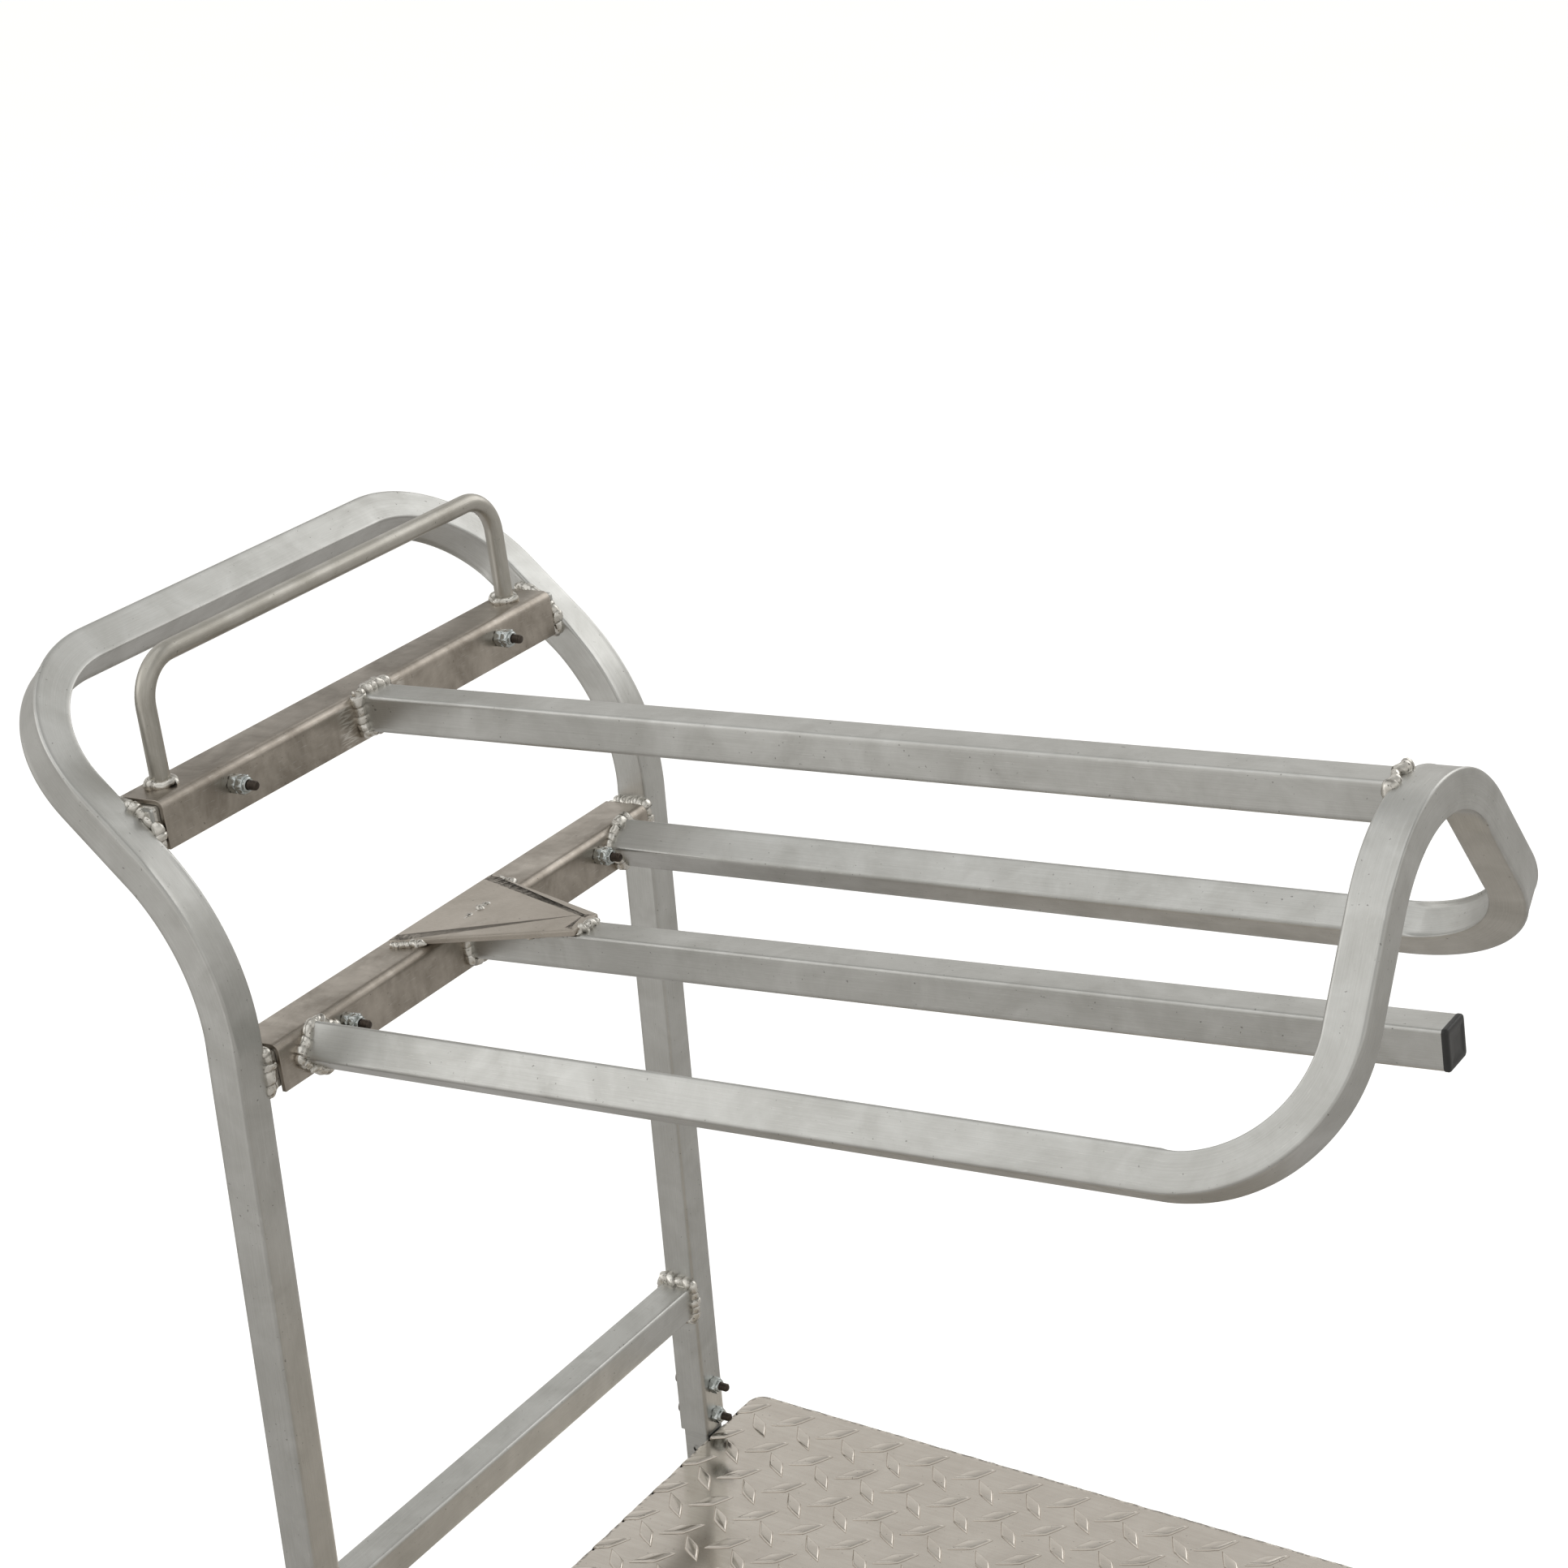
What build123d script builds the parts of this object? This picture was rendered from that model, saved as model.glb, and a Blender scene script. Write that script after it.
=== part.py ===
"""Aluminium saddle and tack cart: a bent-tube frame with a saddle rack over a wheeled deck.

Millimetres. +X points from the handle to the front of the deck, +Z up. The origin is on the
floor, midway between the rearmost and the foremost point, on the plane of symmetry.
"""
import os
from math import acos, atan2, cos, hypot, radians, sin, tan

from build123d import *

os.makedirs("parts", exist_ok=True)

# Tube stock
tube = 25.4
tube_wall = 1.65
tube_corner = 2.4
least_inner_corner = 0.4
weld_gap = 0.2

# Handle frame
frame_width = 475.0
frame_lean = 1.4
frame_setback = 16.9
knee_rise = 72.4
knee_radius = 151.0
slope_angle = 40.0
slope_length = 210.0
top_corner_radius = 84.5
rack_height_over_deck = 528.0
bottom_tube_over_deck = 119.0
frame_foot_gap = 0.5

# Brackets
bracket_end_gap = 7.1
bracket_depth = 34.4
bracket_drop = 31.8
bracket_plate = 3.2
bracket_bend = 6.0
upper_tube_along_slope = 88.9
upper_tube_off_slope = 4.94

# Saddle rack, in a plane that climbs towards the front
rack_pitch = 4.86
rack_reach = 671.7
rail_inset = 34.3
rail_drop = 14.5
leg_bend_radius = 88.6
apex_bend_radius = 93.7
centre_rail_length = 678.0
centre_rail_extra_pitch = 0.87
centre_rail_lift = 0.5
cap_face = 4.0
cap_edge = 1.3
cap_plug = 12.0
cap_clearance = 0.1
cap_lip = 0.3
cap_plug_corner = 0.8

# Gusset plate on the lower bracket
gusset_thickness = 4.0
gusset_back_width = 117.0
gusset_front_width = 28.0
gusset_back = 28.0
gusset_front = 91.0
gusset_corner = 2.0

# Grab handle
rod_diameter = 12.7
rod_inset = 24.0
rod_setback = 21.0
rod_height = 78.0
rod_bend_radius = 28.0

# Fasteners through the brackets and the posts
bolt_diameter = 6.35
bolt_clearance = 0.25
thread_clearance = 0.05
hex_across_flats = 11.1
bolt_head_height = 4.0
nut_height = 5.6
backing_nut_height = 5.6
nut_collar_height = 1.9
nut_collar_diameter = 9.4
washer_diameter = 15.9
washer_thickness = 1.2
bolt_overhang = 6.5
bracket_bolt_rail_gap = 17.0
bracket_bolt_drop = 12.7
post_bolt_heights = (12.5, 39.0)

# Deck
deck_length = 762.0
deck_overhang = 42.5
deck_plate_thickness = 3.2
deck_corner = 12.0
deck_gap = 1.5
cross_member_inset = 2.0
post_clearance = 0.15
rail_end_gap = 1.0
post_rise = 90.0
post_wall = 2.0
post_hole = 6.5
post_hole_drop = 16.0

# Casters
wheel_radius = 63.5
wheel_width = 32.0
tread_thickness = 9.0
hub_proud = 2.0
hub_side_gap = 1.0
fork_plate = 3.0
fork_tip_radius = 13.0
crown_height = 6.0
wheel_head_gap = 6.4
hub_boss_radius = 12.0
hub_web = 8.0
rim_thickness = 8.0
rim_inset = 2.0
tread_shoulder = 4.0
caster_plate = 4.0
caster_plate_end_margin = 10.0
caster_plate_side_margin = 11.0
caster_hole_x = 75.0
caster_hole_y = 58.0
caster_hole = 8.5
caster_bolt_diameter = 8.0
caster_hex = 13.0
caster_bolt_head = 5.3
caster_nut = 6.5
caster_bolt_overhang = 3.0
caster_member_gap = 2.6
pad_margin = 7.5
pad_thickness = 4.8
pad_corner = 6.0
axle_radius = 4.0
axle_clearance = 0.06
trail = 35.0
race_radius = 27.0
race_height = 9.0
race_gap = 0.3
kingpin_radius = 6.0
running_clearance = 0.05
kingpin_head_radius = 10.0
kingpin_head = 4.0
brake_pin_radius = 3.0
brake_hub_radius = 6.0
brake_ear_radius = 8.0
brake_pedal_angle = 172.0
brake_pin_gap = 10.5
brake_pin_angle = 140.0
brake_side_gap = 4.0
brake_pedal_length = 42.0
brake_shoe_length = 17.0
brake_plate = 3.0

# Caster sizes that follow from the ones above
hub_length = wheel_width + 2 * hub_proud
rim_width = wheel_width - 2 * rim_inset
fork_gap = hub_length + 2 * hub_side_gap
brake_width = fork_gap - 2 * brake_side_gap
brake_pin_distance = wheel_radius + brake_pin_gap
caster_plate_length = caster_hole_x + 2 * caster_plate_end_margin
caster_plate_width = caster_hole_y + 2 * caster_plate_side_margin
crown_bottom = 2 * wheel_radius + wheel_head_gap + kingpin_head + race_gap
crown_top = crown_bottom + crown_height
plate_bottom = crown_top + race_gap + race_height
caster_height = plate_bottom + caster_plate
member_reach = cap_face + 2 * cross_member_inset + tube
caster_inset = member_reach + caster_member_gap + caster_hex / 2 + caster_hole_x / 2

# Heights above the floor
pad_underside = caster_height
rail_underside = pad_underside + pad_thickness
plate_underside = rail_underside + tube
deck_top = plate_underside + deck_plate_thickness
rack_z = deck_top + rack_height_over_deck

# Places along X, measured from the front face of the lower bracket
lean = radians(frame_lean)
slope = radians(slope_angle)
post_foot_x = -frame_setback + rack_height_over_deck * tan(lean)
deck_rear = post_foot_x + tube / 2 / cos(lean) + deck_gap
front_reach = deck_rear + deck_length
knee_x = -frame_setback - knee_rise * sin(lean)
rear_reach = -knee_x + slope_length * cos(slope) + tube / 2 * (cos(slope) + sin(slope))
rack_x = (rear_reach - front_reach) / 2

post_y = (frame_width - tube) / 2
inner_width = frame_width - 2 * tube
bracket_length = inner_width - 2 * bracket_end_gap
rod_half_spacing = bracket_length / 2 - rod_inset
rail_half_spacing = bracket_length / 2 - rail_inset
bracket_bolt_y = rail_half_spacing - tube / 2 - bracket_bolt_rail_gap
deck_width = frame_width + 2 * deck_overhang
bolt_hole = bolt_diameter + bolt_clearance
upright_up = Vector(-sin(lean), 0, cos(lean))
upright_front = Vector(cos(lean), 0, sin(lean))
sideways = Vector(0, 1, 0)

pitch = radians(rack_pitch)
rack_along = Vector(cos(pitch), 0, sin(pitch))
rack = Plane(origin=(rack_x, 0, rack_z), x_dir=rack_along, z_dir=(-sin(pitch), 0, cos(pitch)))
centre_pitch = radians(rack_pitch + centre_rail_extra_pitch)
centre_along = Vector(cos(centre_pitch), 0, sin(centre_pitch))
centre_up = Vector(-sin(centre_pitch), 0, cos(centre_pitch))
slope_along = Vector(-cos(slope), 0, sin(slope))
slope_normal = Vector(sin(slope), 0, cos(slope))
tube_behind_bracket = bracket_plate + weld_gap + tube / 2
sides = {"left": 1, "right": -1}
cap_plug_size = tube - 2 * (tube_wall + cap_clearance)


def upright_point(height, side=0, forward=0.0):
    """Point on an upright's centre line at a height above the lower bracket's top."""
    foot = Vector(rack_x - frame_setback, side * post_y, rack_z)
    return foot + upright_up * height + upright_front * forward


def upper_corner():
    """Distance along and up the rack plane to the upper bracket's front top edge."""
    knee = upright_point(knee_rise)
    centre = knee + slope_along * upper_tube_along_slope + slope_normal * upper_tube_off_slope
    local = rack.to_local_coords(centre)
    return local.X + tube_behind_bracket, local.Z + tube_behind_bracket


def tube_section(size=tube, wall=tube_wall):
    """Add a rounded square tube outline to the sketch being built."""
    bore = size - 2 * wall
    RectangleRounded(size, size, tube_corner)
    RectangleRounded(bore, bore, max(tube_corner - wall, least_inner_corner), mode=Mode.SUBTRACT)


def bent_path(points, radii):
    """Add straight runs joined by arcs of the given bend radii to the line being built."""
    points = [Vector(point) for point in points]
    start = points[0]
    for before, corner, after, radius in zip(points, points[1:], points[2:], radii):
        back = (before - corner).normalized()
        onward = (after - corner).normalized()
        half = radians(back.get_angle(onward)) / 2
        entry = corner + back * (radius / tan(half))
        leave = corner + onward * (radius / tan(half))
        middle = corner + (back + onward).normalized() * (radius / sin(half) - radius)
        Line(start, entry)
        ThreePointArc(entry, middle, leave)
        start = leave
    Line(start, points[-1])


def rack_cross_plane(name):
    """Plane across the cart on the centre line of the tube behind a bracket."""
    back, rise = brackets[name]
    origin = rack.from_local_coords((back - tube_behind_bracket, 0, rise - tube_behind_bracket))
    return Plane(origin=origin, x_dir=rack_along, z_dir=sideways)


def bracket_bolt_planes(forward):
    """Planes on the bracket bolts' axes, facing forward, at a distance past the front face."""
    spots = [(back + forward, side * bracket_bolt_y, rise - bracket_bolt_drop)
             for back, rise in brackets.values() for side in sides.values()]
    return [Plane(origin=rack.from_local_coords(spot), z_dir=rack_along) for spot in spots]


def post_bolt_planes(forward):
    """Planes on the post bolts' axes, facing forward, at a distance past the tube's centre."""
    heights = [height - rack_height_over_deck for height in post_bolt_heights]
    return [Plane(origin=upright_point(height, side, forward), z_dir=upright_front)
            for side in sides.values() for height in heights]


def plate_holes(x, y):
    """Centres of the four bolt holes of the caster plate centred on x, y."""
    return [(x + i * caster_hole_x / 2, y + j * caster_hole_y / 2) for i in (-1, 1) for j in (-1, 1)]


def export(node, name):
    """Label a finished piece with its node name and write it."""
    node.part.label = name
    export_step(node.part, f"parts/{name}.step")


brackets = {"lower": (0.0, 0.0), "upper": upper_corner()}
upper_bracket_r, upper_bracket_rise = brackets["upper"]

# Handle frame: one bent tube from post to post
foot_height = (frame_foot_gap - rack_height_over_deck) / cos(lean)
left_side = [upright_point(foot_height, 1), upright_point(knee_rise, 1)]
left_side.append(left_side[1] + slope_along * slope_length)
right_side = [Vector(point.X, -point.Y, point.Z) for point in reversed(left_side)]

with BuildPart() as handle_frame:
    with BuildLine() as frame_line:
        bent_path(left_side + right_side,
                  [knee_radius, top_corner_radius, top_corner_radius, knee_radius])
    with BuildSketch(Plane(origin=left_side[0], x_dir=sideways, z_dir=upright_up)):
        tube_section()
    sweep(path=frame_line.line)
    with BuildSketch(*post_bolt_planes(0)):
        Circle(bolt_hole / 2)
    extrude(amount=tube, both=True, mode=Mode.SUBTRACT)
export(handle_frame, "handle_frame")

# Cross tubes welded between the uprights
for name in brackets:
    with BuildPart() as cross_tube:
        with BuildSketch(rack_cross_plane(name)):
            tube_section()
        extrude(amount=inner_width / 2 - weld_gap, both=True)
        with BuildSketch(*bracket_bolt_planes(0)):
            Circle(bolt_hole / 2)
        extrude(amount=-2 * tube, mode=Mode.SUBTRACT)
    export(cross_tube, f"{name}_cross_tube")

with BuildPart() as bottom_cross_tube:
    height = bottom_tube_over_deck - rack_height_over_deck
    with BuildSketch(Plane(origin=upright_point(height), x_dir=upright_front, z_dir=sideways)):
        tube_section()
    extrude(amount=inner_width / 2 - weld_gap, both=True)
export(bottom_cross_tube, "bottom_cross_tube")

# Bent-plate angle brackets over the two upper cross tubes
for name, (back, rise) in brackets.items():
    with BuildPart() as bracket:
        corner = rack.from_local_coords((back, 0, rise))
        with BuildSketch(Plane(origin=corner, x_dir=rack_along, z_dir=-sideways)):
            with BuildLine():
                FilletPolyline((-bracket_depth, 0), (0, 0), (0, -bracket_drop), radius=bracket_bend)
                Line((0, -bracket_drop), (-bracket_plate, -bracket_drop))
                FilletPolyline((-bracket_plate, -bracket_drop), (-bracket_plate, -bracket_plate),
                               (-bracket_depth, -bracket_plate), radius=bracket_bend - bracket_plate)
                Line((-bracket_depth, -bracket_plate), (-bracket_depth, 0))
            make_face()
        extrude(amount=bracket_length / 2, both=True)
        with BuildSketch(*bracket_bolt_planes(0)):
            Circle(bolt_hole / 2)
        extrude(amount=-2 * bracket_plate, mode=Mode.SUBTRACT)
    export(bracket, f"{name}_bracket")

# Grab handle: a bent rod on the upper bracket
rod_base = upper_bracket_rise + weld_gap
rod_r = upper_bracket_r - rod_setback
rod_points = [(rod_r, -rod_half_spacing, rod_base),
              (rod_r, -rod_half_spacing, upper_bracket_rise + rod_height),
              (rod_r, rod_half_spacing, upper_bracket_rise + rod_height),
              (rod_r, rod_half_spacing, rod_base)]
with BuildPart() as grab_handle:
    with BuildLine() as rod_line:
        bent_path([rack.from_local_coords(point) for point in rod_points], [rod_bend_radius] * 2)
    with BuildSketch(Plane(origin=rack.from_local_coords(rod_points[0]), z_dir=rack.z_dir)):
        Circle(rod_diameter / 2)
    sweep(path=rod_line.line)
export(grab_handle, "grab_handle")

# Top rail, flush with the upper bracket and the top of the loop
with BuildPart() as top_rail:
    start = rack.from_local_coords((upper_bracket_r + weld_gap, 0, upper_bracket_rise - tube / 2))
    with BuildSketch(Plane(origin=start, x_dir=sideways, z_dir=rack_along)):
        tube_section()
    extrude(amount=rack_reach - tube / 2 - upper_bracket_r - 2 * weld_gap)
export(top_rail, "top_rail")

# Rack loop: side rail, leg, apex, leg and side rail as one bent tube, whose legs tilt in so far
# that the apex ends flush with the top rail
apex_rise = upper_bracket_rise - tube / 2 + rail_drop
below_centre = apex_bend_radius - apex_rise
tilt = (atan2(below_centre, rail_half_spacing)
        + acos(apex_bend_radius / hypot(below_centre, rail_half_spacing)))
sharp_apex = rail_half_spacing / tan(tilt) - rail_drop
loop_points = [(weld_gap, -rail_half_spacing, -rail_drop),
               (rack_reach, -rail_half_spacing, -rail_drop),
               (rack_reach, 0, sharp_apex),
               (rack_reach, rail_half_spacing, -rail_drop),
               (weld_gap, rail_half_spacing, -rail_drop)]
with BuildPart() as rack_loop:
    with BuildLine() as loop_line:
        bent_path([rack.from_local_coords(point) for point in loop_points],
                  [leg_bend_radius, apex_bend_radius, leg_bend_radius])
    leg_up = rack.z_dir * cos(tilt) + sideways * sin(tilt)
    start = rack.from_local_coords(loop_points[0])
    with BuildSketch(Plane(origin=start, x_dir=leg_up, z_dir=rack_along)):
        tube_section()
    sweep(path=loop_line.line)
export(rack_loop, "rack_loop")

# Centre rail with its plug
centre_start = (Vector(rack.from_local_coords((weld_gap, 0, 0)))
                - centre_up * (tube / 2 - centre_rail_lift))
with BuildPart() as centre_rail:
    with BuildSketch(Plane(origin=centre_start, x_dir=sideways, z_dir=centre_along)):
        tube_section()
    extrude(amount=centre_rail_length)
export(centre_rail, "centre_rail")

centre_end = centre_start + centre_along * centre_rail_length
with BuildPart() as centre_rail_cap:
    with BuildSketch(Plane(origin=centre_end, x_dir=sideways, z_dir=centre_along)):
        RectangleRounded(tube + 2 * cap_lip, tube + 2 * cap_lip, tube_corner)
    extrude(amount=cap_face)
    fillet(centre_rail_cap.faces().sort_by(Axis.X)[-1].edges(), cap_edge)
    with BuildSketch(Plane(origin=centre_end, x_dir=sideways, z_dir=centre_along)):
        RectangleRounded(cap_plug_size, cap_plug_size, cap_plug_corner)
    extrude(amount=-cap_plug)
export(centre_rail_cap, "centre_rail_cap")

# Gusset plate over the lower bracket and the centre rail
with BuildPart() as gusset_plate:
    corner = centre_start + centre_up * (tube / 2 + weld_gap)
    with BuildSketch(Plane(origin=corner, x_dir=centre_along, z_dir=centre_up)):
        with BuildLine():
            Polyline((-gusset_back, -gusset_back_width / 2), (gusset_front, -gusset_front_width / 2),
                     (gusset_front, gusset_front_width / 2), (-gusset_back, gusset_back_width / 2),
                     close=True)
        make_face()
    extrude(amount=gusset_thickness)
    fillet(gusset_plate.edges().filter_by(Axis((0, 0, 0), centre_up)), gusset_corner)
export(gusset_plate, "gusset_plate")

# Bolts through the brackets and the posts, with a washer under each head and a lock nut in front.
# On the brackets a plain nut backs each lock nut.
bolt_radius = bolt_diameter / 2
nut_bore = bolt_radius + thread_clearance
bracket_bolt_grip = tube_behind_bracket + tube / 2
joints = {"bracket": (bracket_bolt_planes, -bracket_bolt_grip, 0.0, backing_nut_height + nut_height),
          "post": (post_bolt_planes, -tube / 2, tube / 2, nut_height)}

for name, (bolt_planes, back_face, front_face, nut_length) in joints.items():
    head_face = back_face - washer_thickness
    nut_stack = nut_length + nut_collar_height + bolt_overhang
    with BuildPart() as bolts:
        with BuildSketch(*bolt_planes(head_face)):
            RegularPolygon(hex_across_flats / 2, 6, major_radius=False)
        extrude(amount=-bolt_head_height)
        with BuildSketch(*bolt_planes(head_face)):
            Circle(bolt_radius)
        extrude(amount=front_face - head_face + nut_stack)
    export(bolts, f"{name}_bolts")

    with BuildPart() as nuts:
        with BuildSketch(*bolt_planes(front_face)):
            RegularPolygon(hex_across_flats / 2, 6, major_radius=False)
            Circle(nut_bore, mode=Mode.SUBTRACT)
        extrude(amount=nut_length)
        with BuildSketch(*bolt_planes(front_face + nut_length)):
            Circle(nut_collar_diameter / 2)
            Circle(nut_bore, mode=Mode.SUBTRACT)
        extrude(amount=nut_collar_height)
    export(nuts, f"{name}_nuts")

with BuildPart() as washers:
    for bolt_planes, back_face, _, _ in joints.values():
        with BuildSketch(*bolt_planes(back_face)):
            Circle(washer_diameter / 2)
            Circle(nut_bore, mode=Mode.SUBTRACT)
        extrude(amount=-washer_thickness)
export(washers, "washers")

# Posts that the uprights slide over, bolted through
post_size = tube - 2 * (tube_wall + post_clearance)
post_foot = rail_underside - rack_z
post_length = (plate_underside - rail_underside + deck_plate_thickness + post_rise) / cos(lean)
post_hole_height = -rack_height_over_deck - post_hole_drop

for name, side in sides.items():
    with BuildPart() as post:
        foot = upright_point(post_foot / cos(lean), side)
        with BuildSketch(Plane(origin=foot, x_dir=sideways, z_dir=upright_up)):
            tube_section(post_size, post_wall)
        extrude(amount=post_length)
        with BuildSketch(*post_bolt_planes(0)):
            Circle(bolt_hole / 2)
        extrude(amount=tube, both=True, mode=Mode.SUBTRACT)
        cross_hole = Plane(origin=upright_point(post_hole_height, side), z_dir=sideways)
        with BuildSketch(cross_hole):
            Circle(post_hole / 2)
        extrude(amount=tube, both=True, mode=Mode.SUBTRACT)
    export(post, f"{name}_post")

# Deck plate and the tube frame under it
rear_x = rack_x + deck_rear
front_x = rack_x + front_reach
with BuildPart() as deck_plate:
    with BuildSketch(Plane.XY.offset(plate_underside)):
        with Locations(((rear_x + front_x) / 2, 0)):
            RectangleRounded(deck_length, deck_width, deck_corner)
    extrude(amount=deck_plate_thickness)
export(deck_plate, "deck_plate")

rail_z = rail_underside + tube / 2
rail_rear = rack_x + post_foot_x + post_size / 2 + rail_end_gap
rail_front = front_x - cap_face - cross_member_inset
for name, side in sides.items():
    with BuildPart() as side_rail:
        start = Vector(rail_rear, side * post_y, rail_z)
        with BuildSketch(Plane(origin=start, x_dir=sideways, z_dir=(1, 0, 0))):
            tube_section()
        extrude(amount=rail_front - rail_rear)
    export(side_rail, f"{name}_side_rail")

rail_ends = [Plane(origin=(rail_front, side * post_y, rail_z), x_dir=sideways, z_dir=(1, 0, 0))
             for side in sides.values()]
with BuildPart() as side_rail_caps:
    with BuildSketch(*rail_ends):
        RectangleRounded(tube, tube, tube_corner)
    extrude(amount=cap_face)
    fillet(side_rail_caps.faces().group_by(Axis.X)[-1].edges(), cap_edge)
    with BuildSketch(*rail_ends):
        RectangleRounded(cap_plug_size, cap_plug_size, cap_plug_corner)
    extrude(amount=-cap_plug)
export(side_rail_caps, "side_rail_caps")

members = {"rear": rear_x + tube / 2 + cross_member_inset, "middle": (rear_x + front_x) / 2,
           "front": rail_front - tube / 2 - cross_member_inset}
for name, member_x in members.items():
    with BuildPart() as cross_member:
        with BuildSketch(Plane(origin=(member_x, 0, rail_z), x_dir=(1, 0, 0), z_dir=sideways)):
            tube_section()
        extrude(amount=inner_width / 2 - weld_gap, both=True)
    export(cross_member, f"{name}_cross_member")

# Caster pads under the side rails, with the bolts that hold the casters
caster_x = {"rear": rear_x + caster_inset, "front": front_x - caster_inset}
caster_spots = [(x, side * post_y) for x in caster_x.values() for side in sides.values()]
caster_holes = [hole for spot in caster_spots for hole in plate_holes(*spot)]
with BuildPart() as caster_pads:
    with BuildSketch(Plane.XY.offset(pad_underside)):
        with Locations(*caster_spots):
            RectangleRounded(caster_plate_length + 2 * pad_margin, caster_plate_width + 2 * pad_margin,
                             pad_corner)
        with Locations(*caster_holes):
            Circle(caster_hole / 2, mode=Mode.SUBTRACT)
    extrude(amount=pad_thickness)
export(caster_pads, "caster_pads")

with BuildPart() as caster_bolts:
    with BuildSketch(Plane.XY.offset(rail_underside)):
        with Locations(*caster_holes):
            RegularPolygon(caster_hex / 2, 6, major_radius=False)
    extrude(amount=caster_bolt_head)
    with BuildSketch(Plane.XY.offset(rail_underside)):
        with Locations(*caster_holes):
            Circle(caster_bolt_diameter / 2)
    extrude(amount=-(pad_thickness + caster_plate + caster_nut + caster_bolt_overhang))
export(caster_bolts, "caster_bolts")

with BuildPart() as caster_nuts:
    with BuildSketch(Plane.XY.offset(plate_bottom)):
        with Locations(*caster_holes):
            RegularPolygon(caster_hex / 2, 6, major_radius=False)
            Circle(caster_bolt_diameter / 2 + thread_clearance, mode=Mode.SUBTRACT)
    extrude(amount=-caster_nut)
export(caster_nuts, "caster_nuts")

# Casters: fixed at the rear, swivelling with a brake at the front
leg_inner = fork_gap / 2
leg_outer = leg_inner + fork_plate
rim_radius = wheel_radius - tread_thickness
pin_angle = radians(brake_pin_angle)
pin_spot = (brake_pin_distance * cos(pin_angle), brake_pin_distance * sin(pin_angle))
for hand, side in sides.items():
    spot = (caster_x["rear"], side * post_y)
    hub_plane = Plane(origin=(*spot, wheel_radius), x_dir=(1, 0, 0), z_dir=-sideways)
    with BuildPart() as fixed_fork:
        for across in (-leg_outer, leg_inner):
            with BuildSketch(hub_plane.offset(across)):
                Circle(fork_tip_radius)
                with Locations((0, plate_bottom - wheel_radius - fork_plate / 2)):
                    Rectangle(2 * race_radius, fork_plate)
                make_hull()
                Circle(axle_radius + axle_clearance, mode=Mode.SUBTRACT)
            extrude(amount=fork_plate)
        with BuildSketch(Plane.XY.offset(plate_bottom)):
            with Locations(spot):
                RectangleRounded(caster_plate_length, caster_plate_width, pad_corner)
            with Locations(*plate_holes(*spot)):
                Circle(caster_hole / 2, mode=Mode.SUBTRACT)
        extrude(amount=caster_plate)
    export(fixed_fork, f"rear_{hand}_fork")

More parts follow.
